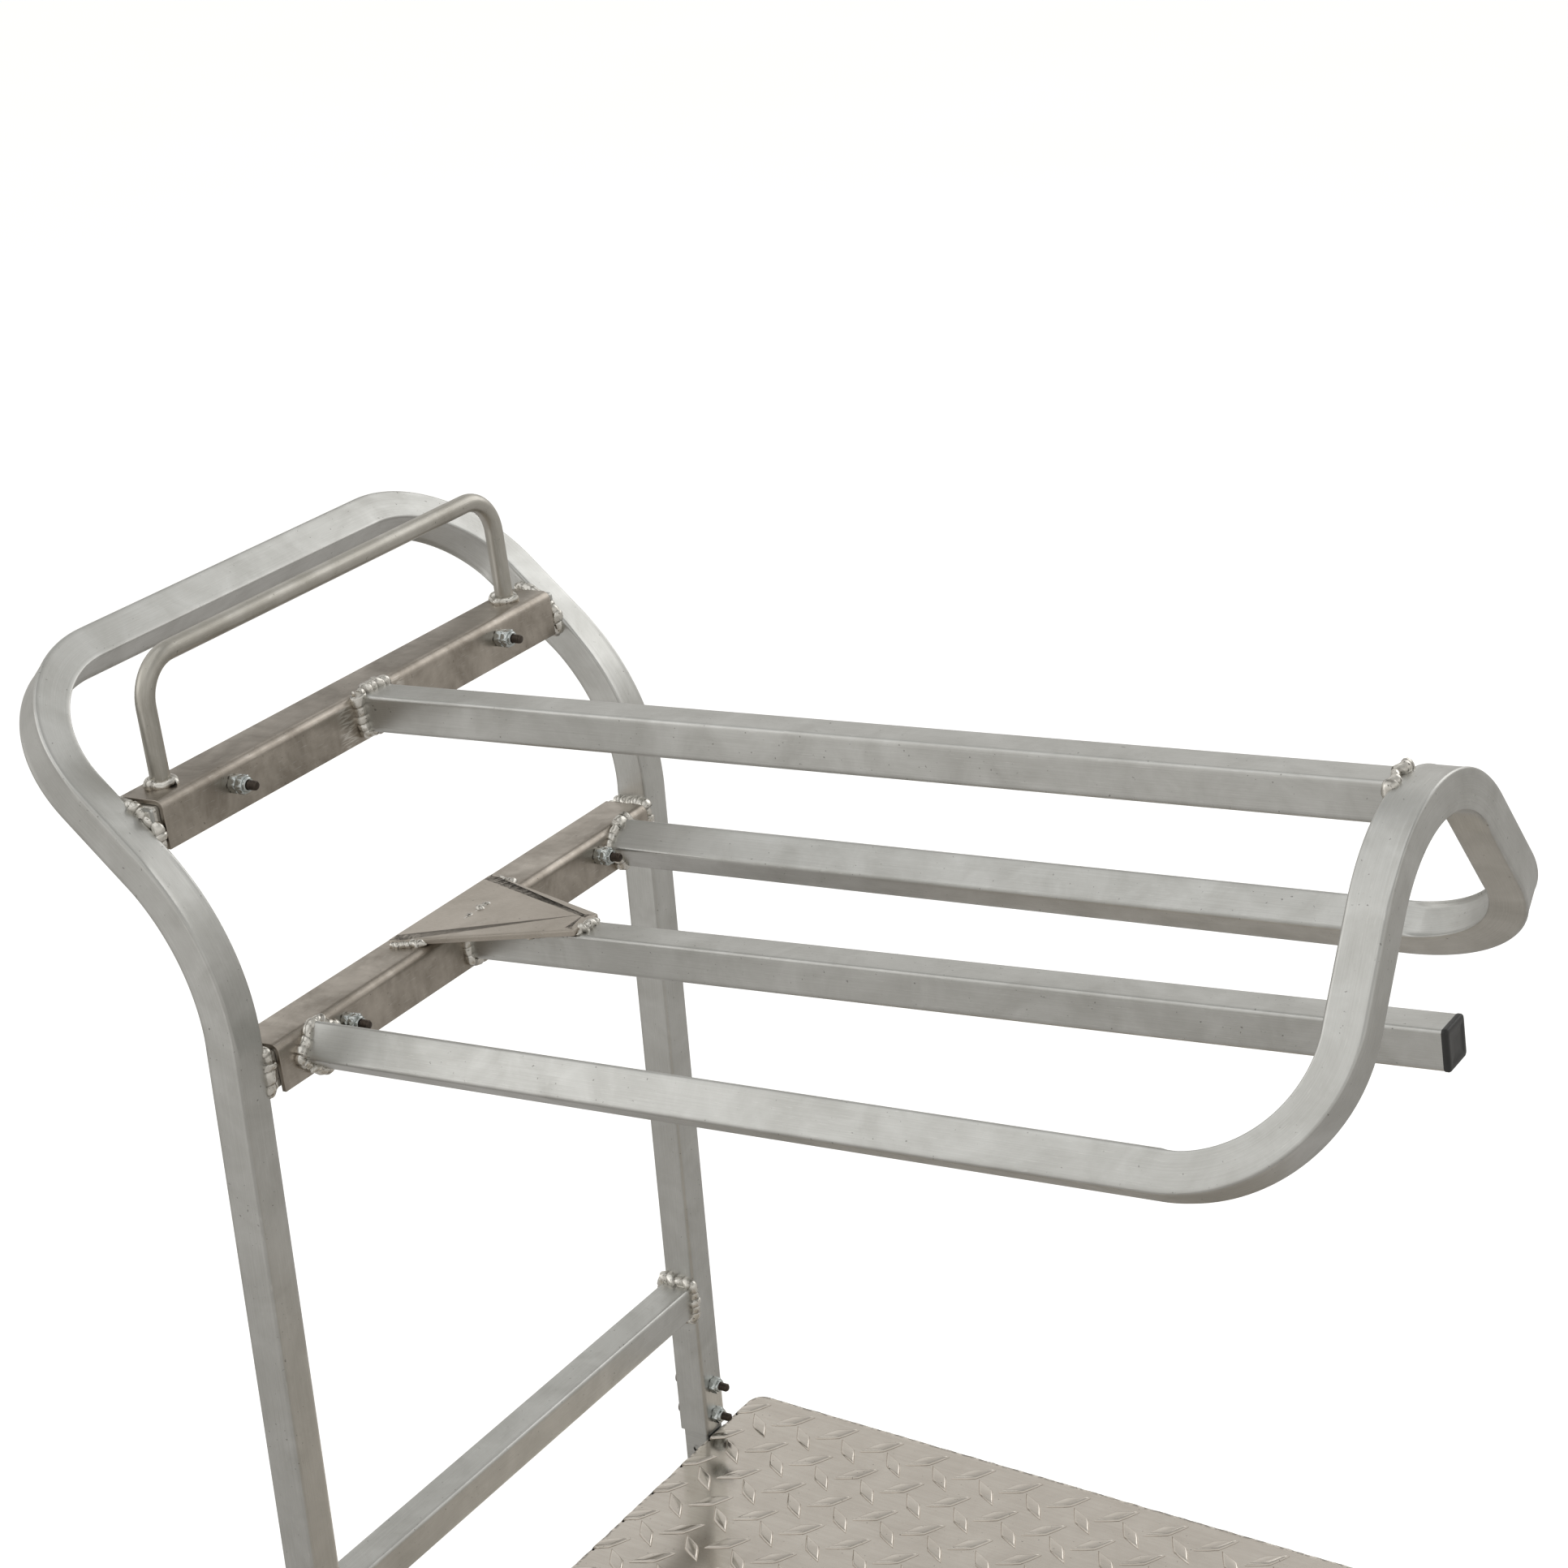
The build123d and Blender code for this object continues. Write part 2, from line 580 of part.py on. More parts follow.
for hand, side in sides.items():
    spot = (caster_x["front"], side * post_y)
    pivot = Vector(*spot, 0)
    hub_plane = Plane(origin=pivot + (-trail, 0, wheel_radius), x_dir=(1, 0, 0), z_dir=-sideways)
    with BuildPart() as swivel_plate:
        with BuildSketch(Plane.XY.offset(plate_bottom)):
            with Locations(spot):
                RectangleRounded(caster_plate_length, caster_plate_width, pad_corner)
            with Locations(*plate_holes(*spot)):
                Circle(caster_hole / 2, mode=Mode.SUBTRACT)
        extrude(amount=caster_plate)
        with BuildSketch(Plane.XY.offset(plate_bottom)):
            with Locations(spot):
                Circle(race_radius)
        extrude(amount=-race_height)
        with BuildSketch(Plane.XY.offset(caster_height)):
            with Locations(spot):
                Circle(kingpin_radius)
        extrude(amount=-caster_height, mode=Mode.SUBTRACT)
    export(swivel_plate, f"front_{hand}_plate")

    with BuildPart() as kingpin:
        with BuildSketch(Plane.XY.offset(caster_height)):
            with Locations(spot):
                Circle(kingpin_radius)
        extrude(amount=crown_bottom - race_gap - caster_height)
        with BuildSketch(Plane.XY.offset(crown_bottom - race_gap)):
            with Locations(spot):
                Circle(kingpin_head_radius)
        extrude(amount=-kingpin_head)
    export(kingpin, f"front_{hand}_kingpin")

    with BuildPart() as swivel_fork:
        for across in (-leg_outer, leg_inner):
            with BuildSketch(hub_plane.offset(across)):
                Circle(fork_tip_radius)
                with Locations((trail, crown_bottom - wheel_radius + crown_height / 2)):
                    Rectangle(2 * race_radius, crown_height)
                with Locations(pin_spot):
                    Circle(brake_ear_radius)
                make_hull()
                Circle(axle_radius + axle_clearance, mode=Mode.SUBTRACT)
                with Locations(pin_spot):
                    Circle(brake_pin_radius, mode=Mode.SUBTRACT)
            extrude(amount=fork_plate)
        with BuildSketch(Plane.XY.offset(crown_bottom)):
            with Locations(spot):
                Circle(race_radius)
        extrude(amount=crown_height)
        with BuildSketch(Plane.XY.offset(crown_bottom)):
            with Locations(spot):
                Circle(kingpin_radius + running_clearance)
        extrude(amount=crown_height, mode=Mode.SUBTRACT)
    export(swivel_fork, f"front_{hand}_fork")

    brake_plane = Plane(origin=hub_plane.from_local_coords((*pin_spot, 0)), x_dir=(1, 0, 0),
                        z_dir=-sideways)
    with BuildPart() as brake_pin:
        with BuildSketch(brake_plane):
            Circle(brake_pin_radius)
        extrude(amount=leg_outer, both=True)
    export(brake_pin, f"front_{hand}_brake_pin")

    with BuildPart() as brake_pedal:
        shoe_angle = brake_pin_angle + 90
        with BuildSketch(brake_plane):
            Circle(brake_hub_radius)
            with Locations(Location((0, 0), brake_pedal_angle)):
                Rectangle(brake_pedal_length, brake_plate, align=(Align.MIN, Align.CENTER))
            with Locations(Location((0, 0), shoe_angle)):
                Rectangle(brake_shoe_length, brake_plate, align=(Align.MIN, Align.CENTER))
            Circle(brake_pin_radius + running_clearance, mode=Mode.SUBTRACT)
        extrude(amount=brake_width / 2, both=True)
    export(brake_pedal, f"front_{hand}_brake_pedal")

# Wheels: a moulded hub with a rubber tread, on an axle bolt through the fork
for end in caster_x:
    axle_x = caster_x[end] - (trail if end == "front" else 0)
    for hand, side in sides.items():
        hub_centre = Vector(axle_x, side * post_y, wheel_radius)
        hub_plane = Plane(origin=hub_centre, x_dir=(1, 0, 0), z_dir=sideways * side)
        with BuildPart() as axle:
            with BuildSketch(hub_plane.offset(-leg_outer)):
                RegularPolygon(caster_hex / 2, 6, major_radius=False)
            extrude(amount=-caster_bolt_head)
            with BuildSketch(hub_plane.offset(-leg_outer)):
                Circle(axle_radius)
            extrude(amount=2 * leg_outer + caster_nut + caster_bolt_overhang)
        export(axle, f"{end}_{hand}_axle")

        with BuildPart() as axle_nut:
            with BuildSketch(hub_plane.offset(leg_outer)):
                RegularPolygon(caster_hex / 2, 6, major_radius=False)
                Circle(axle_radius + running_clearance, mode=Mode.SUBTRACT)
            extrude(amount=caster_nut)
        export(axle_nut, f"{end}_{hand}_axle_nut")

        with BuildPart() as hub:
            with BuildSketch(hub_plane):
                Circle(hub_boss_radius)
            extrude(amount=hub_length / 2, both=True)
            with BuildSketch(hub_plane):
                Circle(rim_radius)
            extrude(amount=hub_web / 2, both=True)
            with BuildSketch(hub_plane):
                Circle(rim_radius)
                Circle(rim_radius - rim_thickness, mode=Mode.SUBTRACT)
            extrude(amount=rim_width / 2, both=True)
            with BuildSketch(hub_plane):
                Circle(axle_radius + axle_clearance)
            extrude(amount=hub_length, both=True, mode=Mode.SUBTRACT)
        export(hub, f"{end}_{hand}_hub")

        with BuildPart() as tyre:
            with BuildSketch(hub_plane):
                Circle(wheel_radius)
                Circle(rim_radius, mode=Mode.SUBTRACT)
            extrude(amount=wheel_width / 2, both=True)
            fillet(tyre.edges().filter_by(GeomType.CIRCLE).sort_by(SortBy.RADIUS)[-2:], tread_shoulder)
        export(tyre, f"{end}_{hand}_tyre")
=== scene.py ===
# %% [markdown]
# A tack cart of bent aluminium tube
#
# The cart is a square-tube frame with a saddle rack over a tread-plate deck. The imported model
# holds its frame, joints and sizes. This notebook gives each piece its looks: tube walls that are
# pressed in at the bends, weld beads, threads, lugs on the deck and worn metal.
#
# Everything is in metres. +X points from the handle to the front of the deck and +Z up.

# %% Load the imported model
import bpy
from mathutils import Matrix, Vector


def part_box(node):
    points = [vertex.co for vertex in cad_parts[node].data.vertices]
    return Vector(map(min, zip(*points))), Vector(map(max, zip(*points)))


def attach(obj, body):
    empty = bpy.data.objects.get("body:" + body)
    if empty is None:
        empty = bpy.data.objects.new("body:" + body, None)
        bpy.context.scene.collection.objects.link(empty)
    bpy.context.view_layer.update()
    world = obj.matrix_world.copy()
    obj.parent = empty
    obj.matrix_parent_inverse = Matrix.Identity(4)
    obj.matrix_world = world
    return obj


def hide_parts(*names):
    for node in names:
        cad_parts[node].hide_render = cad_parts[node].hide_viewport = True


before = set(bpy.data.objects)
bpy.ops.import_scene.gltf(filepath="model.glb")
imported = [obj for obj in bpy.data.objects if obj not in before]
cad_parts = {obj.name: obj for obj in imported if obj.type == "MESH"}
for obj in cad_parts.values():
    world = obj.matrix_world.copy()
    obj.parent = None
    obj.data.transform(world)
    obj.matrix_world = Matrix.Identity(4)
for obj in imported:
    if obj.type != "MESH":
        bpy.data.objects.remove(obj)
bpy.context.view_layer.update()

# %% [markdown]
# Sizes
#
# A welded frame is set out from a few stock sizes. The same ones are named here, and the places
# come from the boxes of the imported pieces: the rack's origin is the front top edge of the lower
# bracket, and the rack climbs towards the front.

# %% Stock sizes and the rack's origin
from math import acos, atan2, cos, hypot, pi, radians, sin, tan

import bmesh
import bpy
import numpy as np
from mathutils import Matrix

mm = 0.001
tube = 25.4 * mm
tube_wall = 1.65 * mm
tube_corner = 2.4 * mm
weld_gap = 0.2 * mm
frame_width = 475.0 * mm
bracket_plate = 3.2 * mm
bracket_drop = 31.8 * mm
bracket_depth = 34.4 * mm
bracket_bend = 6.0 * mm

pitch = radians(4.86)
lean = radians(1.4)
slope = radians(40.0)
sideways = np.array([0.0, 1.0, 0.0])
rack_along = np.array([cos(pitch), 0.0, sin(pitch)])
rack_up = np.array([-sin(pitch), 0.0, cos(pitch)])
upright_up = np.array([-sin(lean), 0.0, cos(lean)])
upright_front = np.array([cos(lean), 0.0, sin(lean)])
slope_along = np.array([-cos(slope), 0.0, sin(slope)])
slope_normal = np.array([sin(slope), 0.0, cos(slope)])

deck_low, deck_high = (np.array(corner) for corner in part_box("deck_plate"))
rack_height_over_deck = 528.0 * mm
rack_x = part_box("lower_bracket")[1].x - bracket_drop * sin(pitch)
rack_origin = np.array([rack_x, 0.0, deck_high[2] + rack_height_over_deck])
inner_width = frame_width - 2 * tube
post_y = (frame_width - tube) / 2
print("rack origin:", rack_origin.round(4))


def rack_point(r, y, q):
    """The rack's origin plus r along the rack, y sideways and q up from the rack's plane."""
    return rack_origin + r * rack_along + y * sideways + q * rack_up


# %% [markdown]
# Camera
#
# The cart is seen from its front right, from a little above and fairly far off, so that its
# long rails stay nearly parallel. The camera's three axes are built from an azimuth, an
# elevation and a small roll: back points from the cart to the eye.

# %% Camera
eye = (0.98769, -1.60639, 1.65081)
azimuth, elevation, roll = radians(32.6), radians(22.63), radians(-3.31)
back = np.array([sin(azimuth) * cos(elevation), -cos(azimuth) * cos(elevation), sin(elevation)])
level = np.array([cos(azimuth), sin(azimuth), 0.0])
overhead = np.cross(back, level)
right = level * cos(roll) + overhead * sin(roll)
up = overhead * cos(roll) - level * sin(roll)

camera_data = bpy.data.cameras.new("camera")
camera_data.lens = 78.03
camera_data.sensor_width = 36.0
camera_data.clip_end = 100.0
camera = bpy.data.objects.new("camera", camera_data)
camera.matrix_world = Matrix(np.column_stack([right, up, back]).tolist()).to_4x4()
camera.location = eye
bpy.context.scene.collection.objects.link(camera)
bpy.context.scene.camera = camera
print("camera lens:", camera_data.lens, "mm")

# %% [markdown]
# Colour and shader nodes
#
# Colours are written as sRGB hex, the way a paint program shows them, and turned to the linear
# values that light adds up in. One function adds a shader node: its keyword settings are the
# node's own properties, and each input is either linked, if it is a socket, or set.


# %% Colour and node helpers
def linear(hex_colour):
    """sRGB hex to linear: a value under 0.04045 is divided by 12.92, any other one has 0.055
    added, is divided by 1.055 and is raised to the power 2.4."""
    value = np.array([int(hex_colour[i:i + 2], 16) for i in (1, 3, 5)]) / 255
    low, high = value / 12.92, ((value + 0.055) / 1.055) ** 2.4
    return (*np.where(value <= 0.04045, low, high).tolist(), 1.0)


def add_node(tree, kind, inputs=None, **settings):
    """Add one node, set its properties, and link or set its inputs."""
    node = tree.nodes.new(kind)
    for key, value in settings.items():
        setattr(node, key, value)
    for key, value in (inputs or {}).items():
        if isinstance(value, bpy.types.NodeSocket):
            tree.links.new(value, node.inputs[key])
        else:
            node.inputs[key].default_value = value
    return node


def new_material(name):
    """An empty material: its node tree and its output node."""
    material = bpy.data.materials.new(name)
    material.use_nodes = True
    material.node_tree.nodes.clear()
    output = add_node(material.node_tree, "ShaderNodeOutputMaterial")
    return material, material.node_tree, output


print("mill aluminium in linear light:", [round(v, 3) for v in linear("#C4C3BF")])

# %% [markdown]
# Studio
#
# Bare metal shows what stands around it. Its upright faces look down at the ground and its top
# faces at the sky, so the world is a tall gradient: a grey ground, a softer wall and a bright
# ceiling. The pale floor glows a little, as a lit shooting table does, but stays out of sharp
# reflections, because a white floor would make upright faces as bright as top ones. Looked at
# directly, the world is a plain white backdrop, so that the floor has no hard far edge.

# %% World, floor and lights
scene = bpy.context.scene
scene.view_settings.view_transform = "Standard"
world = bpy.data.worlds.new("studio")
scene.world = world
world.use_nodes = True
sky = world.node_tree
sky.nodes.clear()
direction = add_node(sky, "ShaderNodeTexCoord").outputs["Generated"]
height = add_node(sky, "ShaderNodeSeparateXYZ", {0: direction}).outputs["Z"]
share = add_node(sky, "ShaderNodeMapRange", {"Value": height, "From Min": -1.0, "From Max": 1.0})
ceiling = add_node(sky, "ShaderNodeValToRGB", {"Fac": share.outputs[0]})
stops = [(0.0, "#BAB7B4"), (0.36, "#C0BEBA"), (0.47, "#C7C5C1"), (0.56, "#D3D1CE"),
         (0.69, "#ECEBE8"),
         (0.92, "#BCBCBA")]
ceiling.color_ramp.elements.remove(ceiling.color_ramp.elements[1])
ceiling.color_ramp.elements[0].color = linear(stops[0][1])
for place, colour in stops[1:]:
    ceiling.color_ramp.elements.new(place).color = linear(colour)
sky_light = add_node(sky, "ShaderNodeBackground", {"Color": ceiling.outputs[0], "Strength": 1.0})
backdrop = add_node(sky, "ShaderNodeBackground", {"Color": linear("#FFFFFF"), "Strength": 1.0})
seen = add_node(sky, "ShaderNodeLightPath").outputs["Is Camera Ray"]
shown = add_node(sky, "ShaderNodeMixShader", {0: seen, 1: sky_light.outputs[0],
                                              2: backdrop.outputs[0]})
add_node(sky, "ShaderNodeOutputWorld", {"Surface": shown.outputs[0]})

floor_size = 60.0
floor_mesh = bpy.data.meshes.new("floor")
half = floor_size / 2
floor_mesh.from_pydata([(-half, -half, 0), (half, -half, 0), (half, half, 0), (-half, half, 0)],
                       [], [(0, 1, 2, 3)])
floor = bpy.data.objects.new("floor", floor_mesh)
scene.collection.objects.link(floor)
floor.visible_glossy = False
floor_paint, tree, output = new_material("matt_studio_floor_paint")
soft_mottle = add_node(tree, "ShaderNodeTexNoise",
                       {"Vector": add_node(tree, "ShaderNodeTexCoord").outputs["Object"],
                        "Scale": 1.5})
pale = add_node(tree, "ShaderNodeMix", {0: soft_mottle.outputs[0], 6: linear("#F6F6F5"),
                                        7: linear("#FBFBFA")}, data_type="RGBA")
matt = add_node(tree, "ShaderNodeBsdfPrincipled",
                {"Base Color": pale.outputs[2], "Roughness": 0.9, "Specular IOR Level": 0.1,
                 "Emission Color": linear("#FFFFFF"), "Emission Strength": 0.42})
tree.links.new(matt.outputs[0], output.inputs["Surface"])
floor_mesh.materials.append(floor_paint)


def area_light(name, place, aim, size, power):
    """A square soft light at a place, facing a point."""
    data = bpy.data.lights.new(name, "AREA")
    data.size, data.energy = size, power
    lamp = bpy.data.objects.new(name, data)
    lamp.location = place
    lamp.visible_camera = False
    towards = Matrix.Translation(aim).translation - lamp.location
    lamp.rotation_euler = towards.to_track_quat("-Z", "Y").to_euler()
    scene.collection.objects.link(lamp)


cart_middle = (0.0, 0.0, 0.5)
area_light("ceiling_softbox", (-0.6, -0.8, 3.2), cart_middle, 3.0, 14)
area_light("left_softbox", (-3.0, -2.0, 2.0), cart_middle, 2.4, 12)
area_light("back_softbox", (0.5, 3.2, 2.4), cart_middle, 2.4, 18)
area_light("low_front_softbox", (-1.3, -2.4, 0.35), cart_middle, 1.8, 3.5)

# %% [markdown]
# Surfaces from grids
#
# Every new piece is a grid of points: rows along it and columns around it. A grid becomes quads
# by index arithmetic, and its two distances, along and around, become the UV map, so that a
# pattern follows the piece round its bends.


# %% Grid and piece helpers
def unit(vectors):
    """Each vector divided by its length."""
    return vectors / np.linalg.norm(vectors, axis=-1, keepdims=True)


def turned(vector, axis, angle):
    """A vector turned about a unit axis: v cos a + (axis x v) sin a
    + axis (axis . v)(1 - cos a)."""
    angle = np.atleast_1d(angle)[:, None]
    around = np.cross(axis, vector)
    return (vector * np.cos(angle) + around * np.sin(angle)
            + axis * (axis @ vector) * (1 - np.cos(angle)))


def steps(row_points):
    """Distance from the first point to each point along a line of points."""
    return np.concatenate([[0.0], np.linalg.norm(np.diff(row_points, axis=0), axis=1).cumsum()])


def grid_piece(name, points, loop_rows=False, caps=(), values=None):
    """A mesh object over a grid of points, closed around its columns. Quad (i, j) joins rows i
    and i + 1 and columns j and j + 1, each counted round where the grid is a loop. caps names
    the rows that close with one many-sided face. values are numbers per point, by name."""
    rows, columns = points.shape[:2]
    last = rows if loop_rows else rows - 1
    i, j = (index.ravel() for index in np.meshgrid(np.arange(last), np.arange(columns),
                                                   indexing="ij"))
    below, beside = (i + 1) % rows, (j + 1) % columns
    quads = np.column_stack([i * columns + j, i * columns + beside,
                             below * columns + beside, below * columns + j])
    faces = quads.tolist()
    for row in caps:
        ring = (np.arange(columns) + (row % rows) * columns).tolist()
        faces.append(ring if row != 0 else ring[::-1])
    mesh = bpy.data.meshes.new(name)
    mesh.from_pydata(points.reshape(-1, 3).tolist(), [], faces)
    along = steps(np.concatenate([points.mean(axis=1), points[:1].mean(axis=1)]))
    around = steps(np.concatenate([points[rows // 2], points[rows // 2, :1]]))
    corners = np.stack([np.column_stack([along[i], around[j]]),
                        np.column_stack([along[i], around[j + 1]]),
                        np.column_stack([along[i + 1], around[j + 1]]),
                        np.column_stack([along[i + 1], around[j]])], axis=1)
    layer = mesh.uv_layers.new(name="along")
    flat = np.zeros(len(mesh.loops) * 2)
    flat[:corners.size] = corners.ravel()
    layer.data.foreach_set("uv", flat)
    for key, value in (values or {}).items():
        mesh.attributes.new(key, "FLOAT", "POINT").data.foreach_set(
            "value", np.asarray(value, np.float32).ravel())
    tidy = bmesh.new()
    tidy.from_mesh(mesh)
    bmesh.ops.recalc_face_normals(tidy, faces=tidy.faces)
    tidy.to_mesh(mesh)
    tidy.free()
    mesh.shade_smooth()
    mesh.set_sharp_from_angle(angle=radians(40))
    made = bpy.data.objects.new(name, mesh)
    scene.collection.objects.link(made)
    return made


def place(piece, material, body="cart_frame", slot=None, nodes=()):
    """Give a finished piece its material, its body and the CAD nodes it stands for. Its slot
    argument is not used.
    """
    piece.data.materials.append(material)
    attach(piece, body)
    if nodes:
        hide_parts(*nodes)
    print(f"{piece.name}: {len(piece.data.polygons)} faces")
    return piece


def joined(name, parts):
    """Several mesh objects as one."""
    bpy.ops.object.select_all(action="DESELECT")
    for part in parts:
        part.select_set(True)
    bpy.context.view_layer.objects.active = parts[0]
    bpy.ops.object.join()
    parts[0].name = parts[0].data.name = name
    return parts[0]


# %% [markdown]
# Lines of welding
#
# Where a weld runs has to be known before the tubes are made, because the metal beside it is
# changed by heat. Each seam is a list of corner points on the joint. A cross tube's end meets an
# upright's inner face, and where its corner stands past that face, the seam keeps to the edge.


# %% Seams
def square(centre, first, second, reach):
    """The four corners of a square, and the first again: centre plus and minus two directions."""
    signs = [(-1, 1), (1, 1), (1, -1), (-1, -1), (-1, 1)]
    return np.array([centre + reach * (a * first + b * second) for a, b in signs])


def held(points, origin, direction, low, high):
    """Points moved along a unit direction until their distance from the origin is in a range."""
    distance = (points - origin) @ direction
    return points + (np.clip(distance, low, high) - distance)[:, None] * direction


def resampled(points, step):
    """Points evenly spaced along straight runs: each coordinate is interpolated over distance."""
    distance = steps(points)
    count = max(4, int(distance[-1] / step) + 1)
    even = np.linspace(0, distance[-1], count)
    return np.column_stack([np.interp(even, distance, points[:, k]) for k in range(3)])


tube_behind_bracket = bracket_plate + weld_gap + tube / 2
knee_rise = 72.4 * mm
frame_setback = 16.9 * mm
foot = rack_origin - np.array([frame_setback, 0.0, 0.0])
knee = foot + upright_up * knee_rise
upper_tube_along, upper_tube_off = 88.9 * mm, 4.94 * mm
upper_centre = knee + slope_along * upper_tube_along + slope_normal * upper_tube_off
upper_local = upper_centre - rack_origin
upper_r = upper_local @ rack_along + tube_behind_bracket
upper_q = upper_local @ rack_up + tube_behind_bracket
bottom_tube_height = 119.0 * mm
bottom_centre = foot + upright_up * (bottom_tube_height - rack_height_over_deck)
lower_centre = rack_point(-tube_behind_bracket, 0.0, -tube_behind_bracket)
print("upper bracket edge:", round(upper_r / mm, 1), round(upper_q / mm, 1),
      "mm from the rack's origin")

bracket_end_gap, rail_inset = 7.1 * mm, 34.3 * mm
bracket_length = inner_width - 2 * bracket_end_gap
rail_half_spacing = bracket_length / 2 - rail_inset
rod_setback, rod_inset = 21.0 * mm, 24.0 * mm
centre_rail_length = 678.0 * mm
rail_drop = 14.5 * mm
apex_bend_radius = 93.7 * mm
leg_bend_radius = 88.6 * mm
rack_reach = 671.7 * mm
below_centre = apex_bend_radius - (upper_q - tube / 2 + rail_drop)
leg_tilt = (atan2(below_centre, rail_half_spacing)
            + acos(apex_bend_radius / hypot(below_centre, rail_half_spacing)))
centre_pitch = pitch + radians(0.87)
centre_along = np.array([cos(centre_pitch), 0.0, sin(centre_pitch)])
centre_up = np.array([-sin(centre_pitch), 0.0, cos(centre_pitch)])
centre_start = rack_point(weld_gap, 0.0, 0.0) - centre_up * (tube / 2 - 0.5 * mm)

bead_reach = tube / 2 + 1.0 * mm
seams = {}
ends = {"upper": (upper_centre, rack_along, rack_up, knee, slope_normal),
        "lower": (lower_centre, rack_along, rack_up, foot, upright_front),
        "bottom": (bottom_centre, upright_front, upright_up, foot, upright_front)}
for name, (middle, first, second, origin, across) in ends.items():
    for hand, side in (("left", 1), ("right", -1)):
        ring = square(middle + side * sideways * (inner_width / 2 - 1.2 * mm), first, second,
                      bead_reach)
        seams[f"{name}_{hand}_weld"] = held(resampled(ring, 1 * mm), origin, across, -tube / 2,
                                            tube / 2)

for hand, side in (("left", 1), ("right", -1)):
    leg_up = rack_up * cos(leg_tilt) - side * sideways * sin(leg_tilt)
    leg_out = np.cross(rack_along, leg_up)
    ring = square(rack_point(1.2 * mm, side * rail_half_spacing, -rail_drop), leg_out, leg_up,
                  bead_reach)
    seams[f"side_rail_{hand}_weld"] = held(resampled(ring, 1 * mm), rack_origin, rack_up,
                                           -bracket_drop, 0.6 * mm)
    foot_ring = turned(rack_along, rack_up, np.linspace(0, 2 * pi, 60)) * 7.6 * mm
    seams[f"grab_foot_{hand}_weld"] = foot_ring + rack_point(
        upper_r - rod_setback, side * (bracket_length / 2 - rod_inset), upper_q + 1.4 * mm)

seams["top_rail_rear_weld"] = square(rack_point(upper_r + 1.4 * mm, 0.0, upper_q - tube / 2),
                                     sideways, rack_up, bead_reach)
seams["centre_rail_rear_weld"] = square(centre_start + 1.2 * mm * rack_along, sideways, centre_up,
                                        bead_reach)
apex = rack_point(rack_reach - tube / 2 - 0.6 * mm, 0.0, upper_q)
seams["top_rail_front_weld"] = np.array([
    apex - sideways * (tube / 2 + 0.8 * mm) - rack_up * 22 * mm,
    apex - sideways * (tube / 2 + 0.6 * mm),
    apex + sideways * (tube / 2 + 0.6 * mm),
    apex + sideways * (tube / 2 + 0.8 * mm) - rack_up * 22 * mm])
print(len(seams), "seams")


# %% [markdown]
# The gusset's seams
#
# The gusset plate lies on the bracket and the centre rail. It is welded along the front part of
# each slanting edge, across its narrow end, and with a row of tacks under each edge on the rail.

# %% Gusset outline and seams
gusset_thickness = 4.0 * mm
gusset_back, gusset_front = -28.0 * mm, 91.0 * mm
gusset_half_back, gusset_half_front = 58.5 * mm, 14.0 * mm
gusset_origin = centre_start + centre_up * (tube / 2 + weld_gap)


def gusset_point(r, y, q):
    """The gusset's underside corner plus r along the centre rail, y sideways and q up from it."""
    return gusset_origin + r * centre_along + y * sideways + q * centre_up


def gusset_half_width(r):
    """Half the gusset's width, falling evenly from its back to its front."""
    share = (r - gusset_back) / (gusset_front - gusset_back)
    return gusset_half_back + (gusset_half_front - gusset_half_back) * share


for hand, side in (("left", 1), ("right", -1)):
    seams[f"gusset_edge_{hand}_weld"] = np.array([
        gusset_point(r, side * (gusset_half_width(r) + 0.8 * mm), 0.6 * mm)
        for r in (gusset_back + 1 * mm, -1.5 * mm)])
    seams[f"gusset_tack_{hand}_weld"] = np.array([
        gusset_point(r, side * (tube / 2 + 0.8 * mm), -1.6 * mm) for r in (34 * mm, 70 * mm)])
seams["gusset_front_weld"] = np.array([
    gusset_point(gusset_front + 0.8 * mm, y, 0.8 * mm) for y in (-13.5 * mm, 13.5 * mm)])
weld_points = np.concatenate([resampled(line, 3 * mm) for line in seams.values()])


def heat_at(points, reach=30 * mm):
    """1 on a seam, falling evenly to 0 at reach: 1 minus the distance to the nearest weld point
    over reach, held at 0 or more. It works through the points in blocks to save memory."""
    flat = points.reshape(-1, 3)
    near = [np.linalg.norm(block[:, None] - weld_points[None], axis=2).min(axis=1)
            for block in np.array_split(flat, max(1, len(flat) // 4000))]
    return np.clip(1 - np.concatenate(near) / reach, 0, 1)


print("weld points:", len(weld_points))

# %% [markdown]
# Mill-finish aluminium
#
# Extruded 6063 aluminium tube, as it leaves the press: a soft grey sheen with fine lines along
# the length from the die, cloudy patches from handling, short scuffs and dark specks. Beside a
# weld the surface is bleached matt for about 8 mm, then faintly browned. The same metal as bent
# plate is warmer and glossier. The lines are really about 0.1 mm apart, and are drawn at 0.7 mm
# so that they show. On CAD pieces, which have no UV map, the pattern takes Object coordinates.


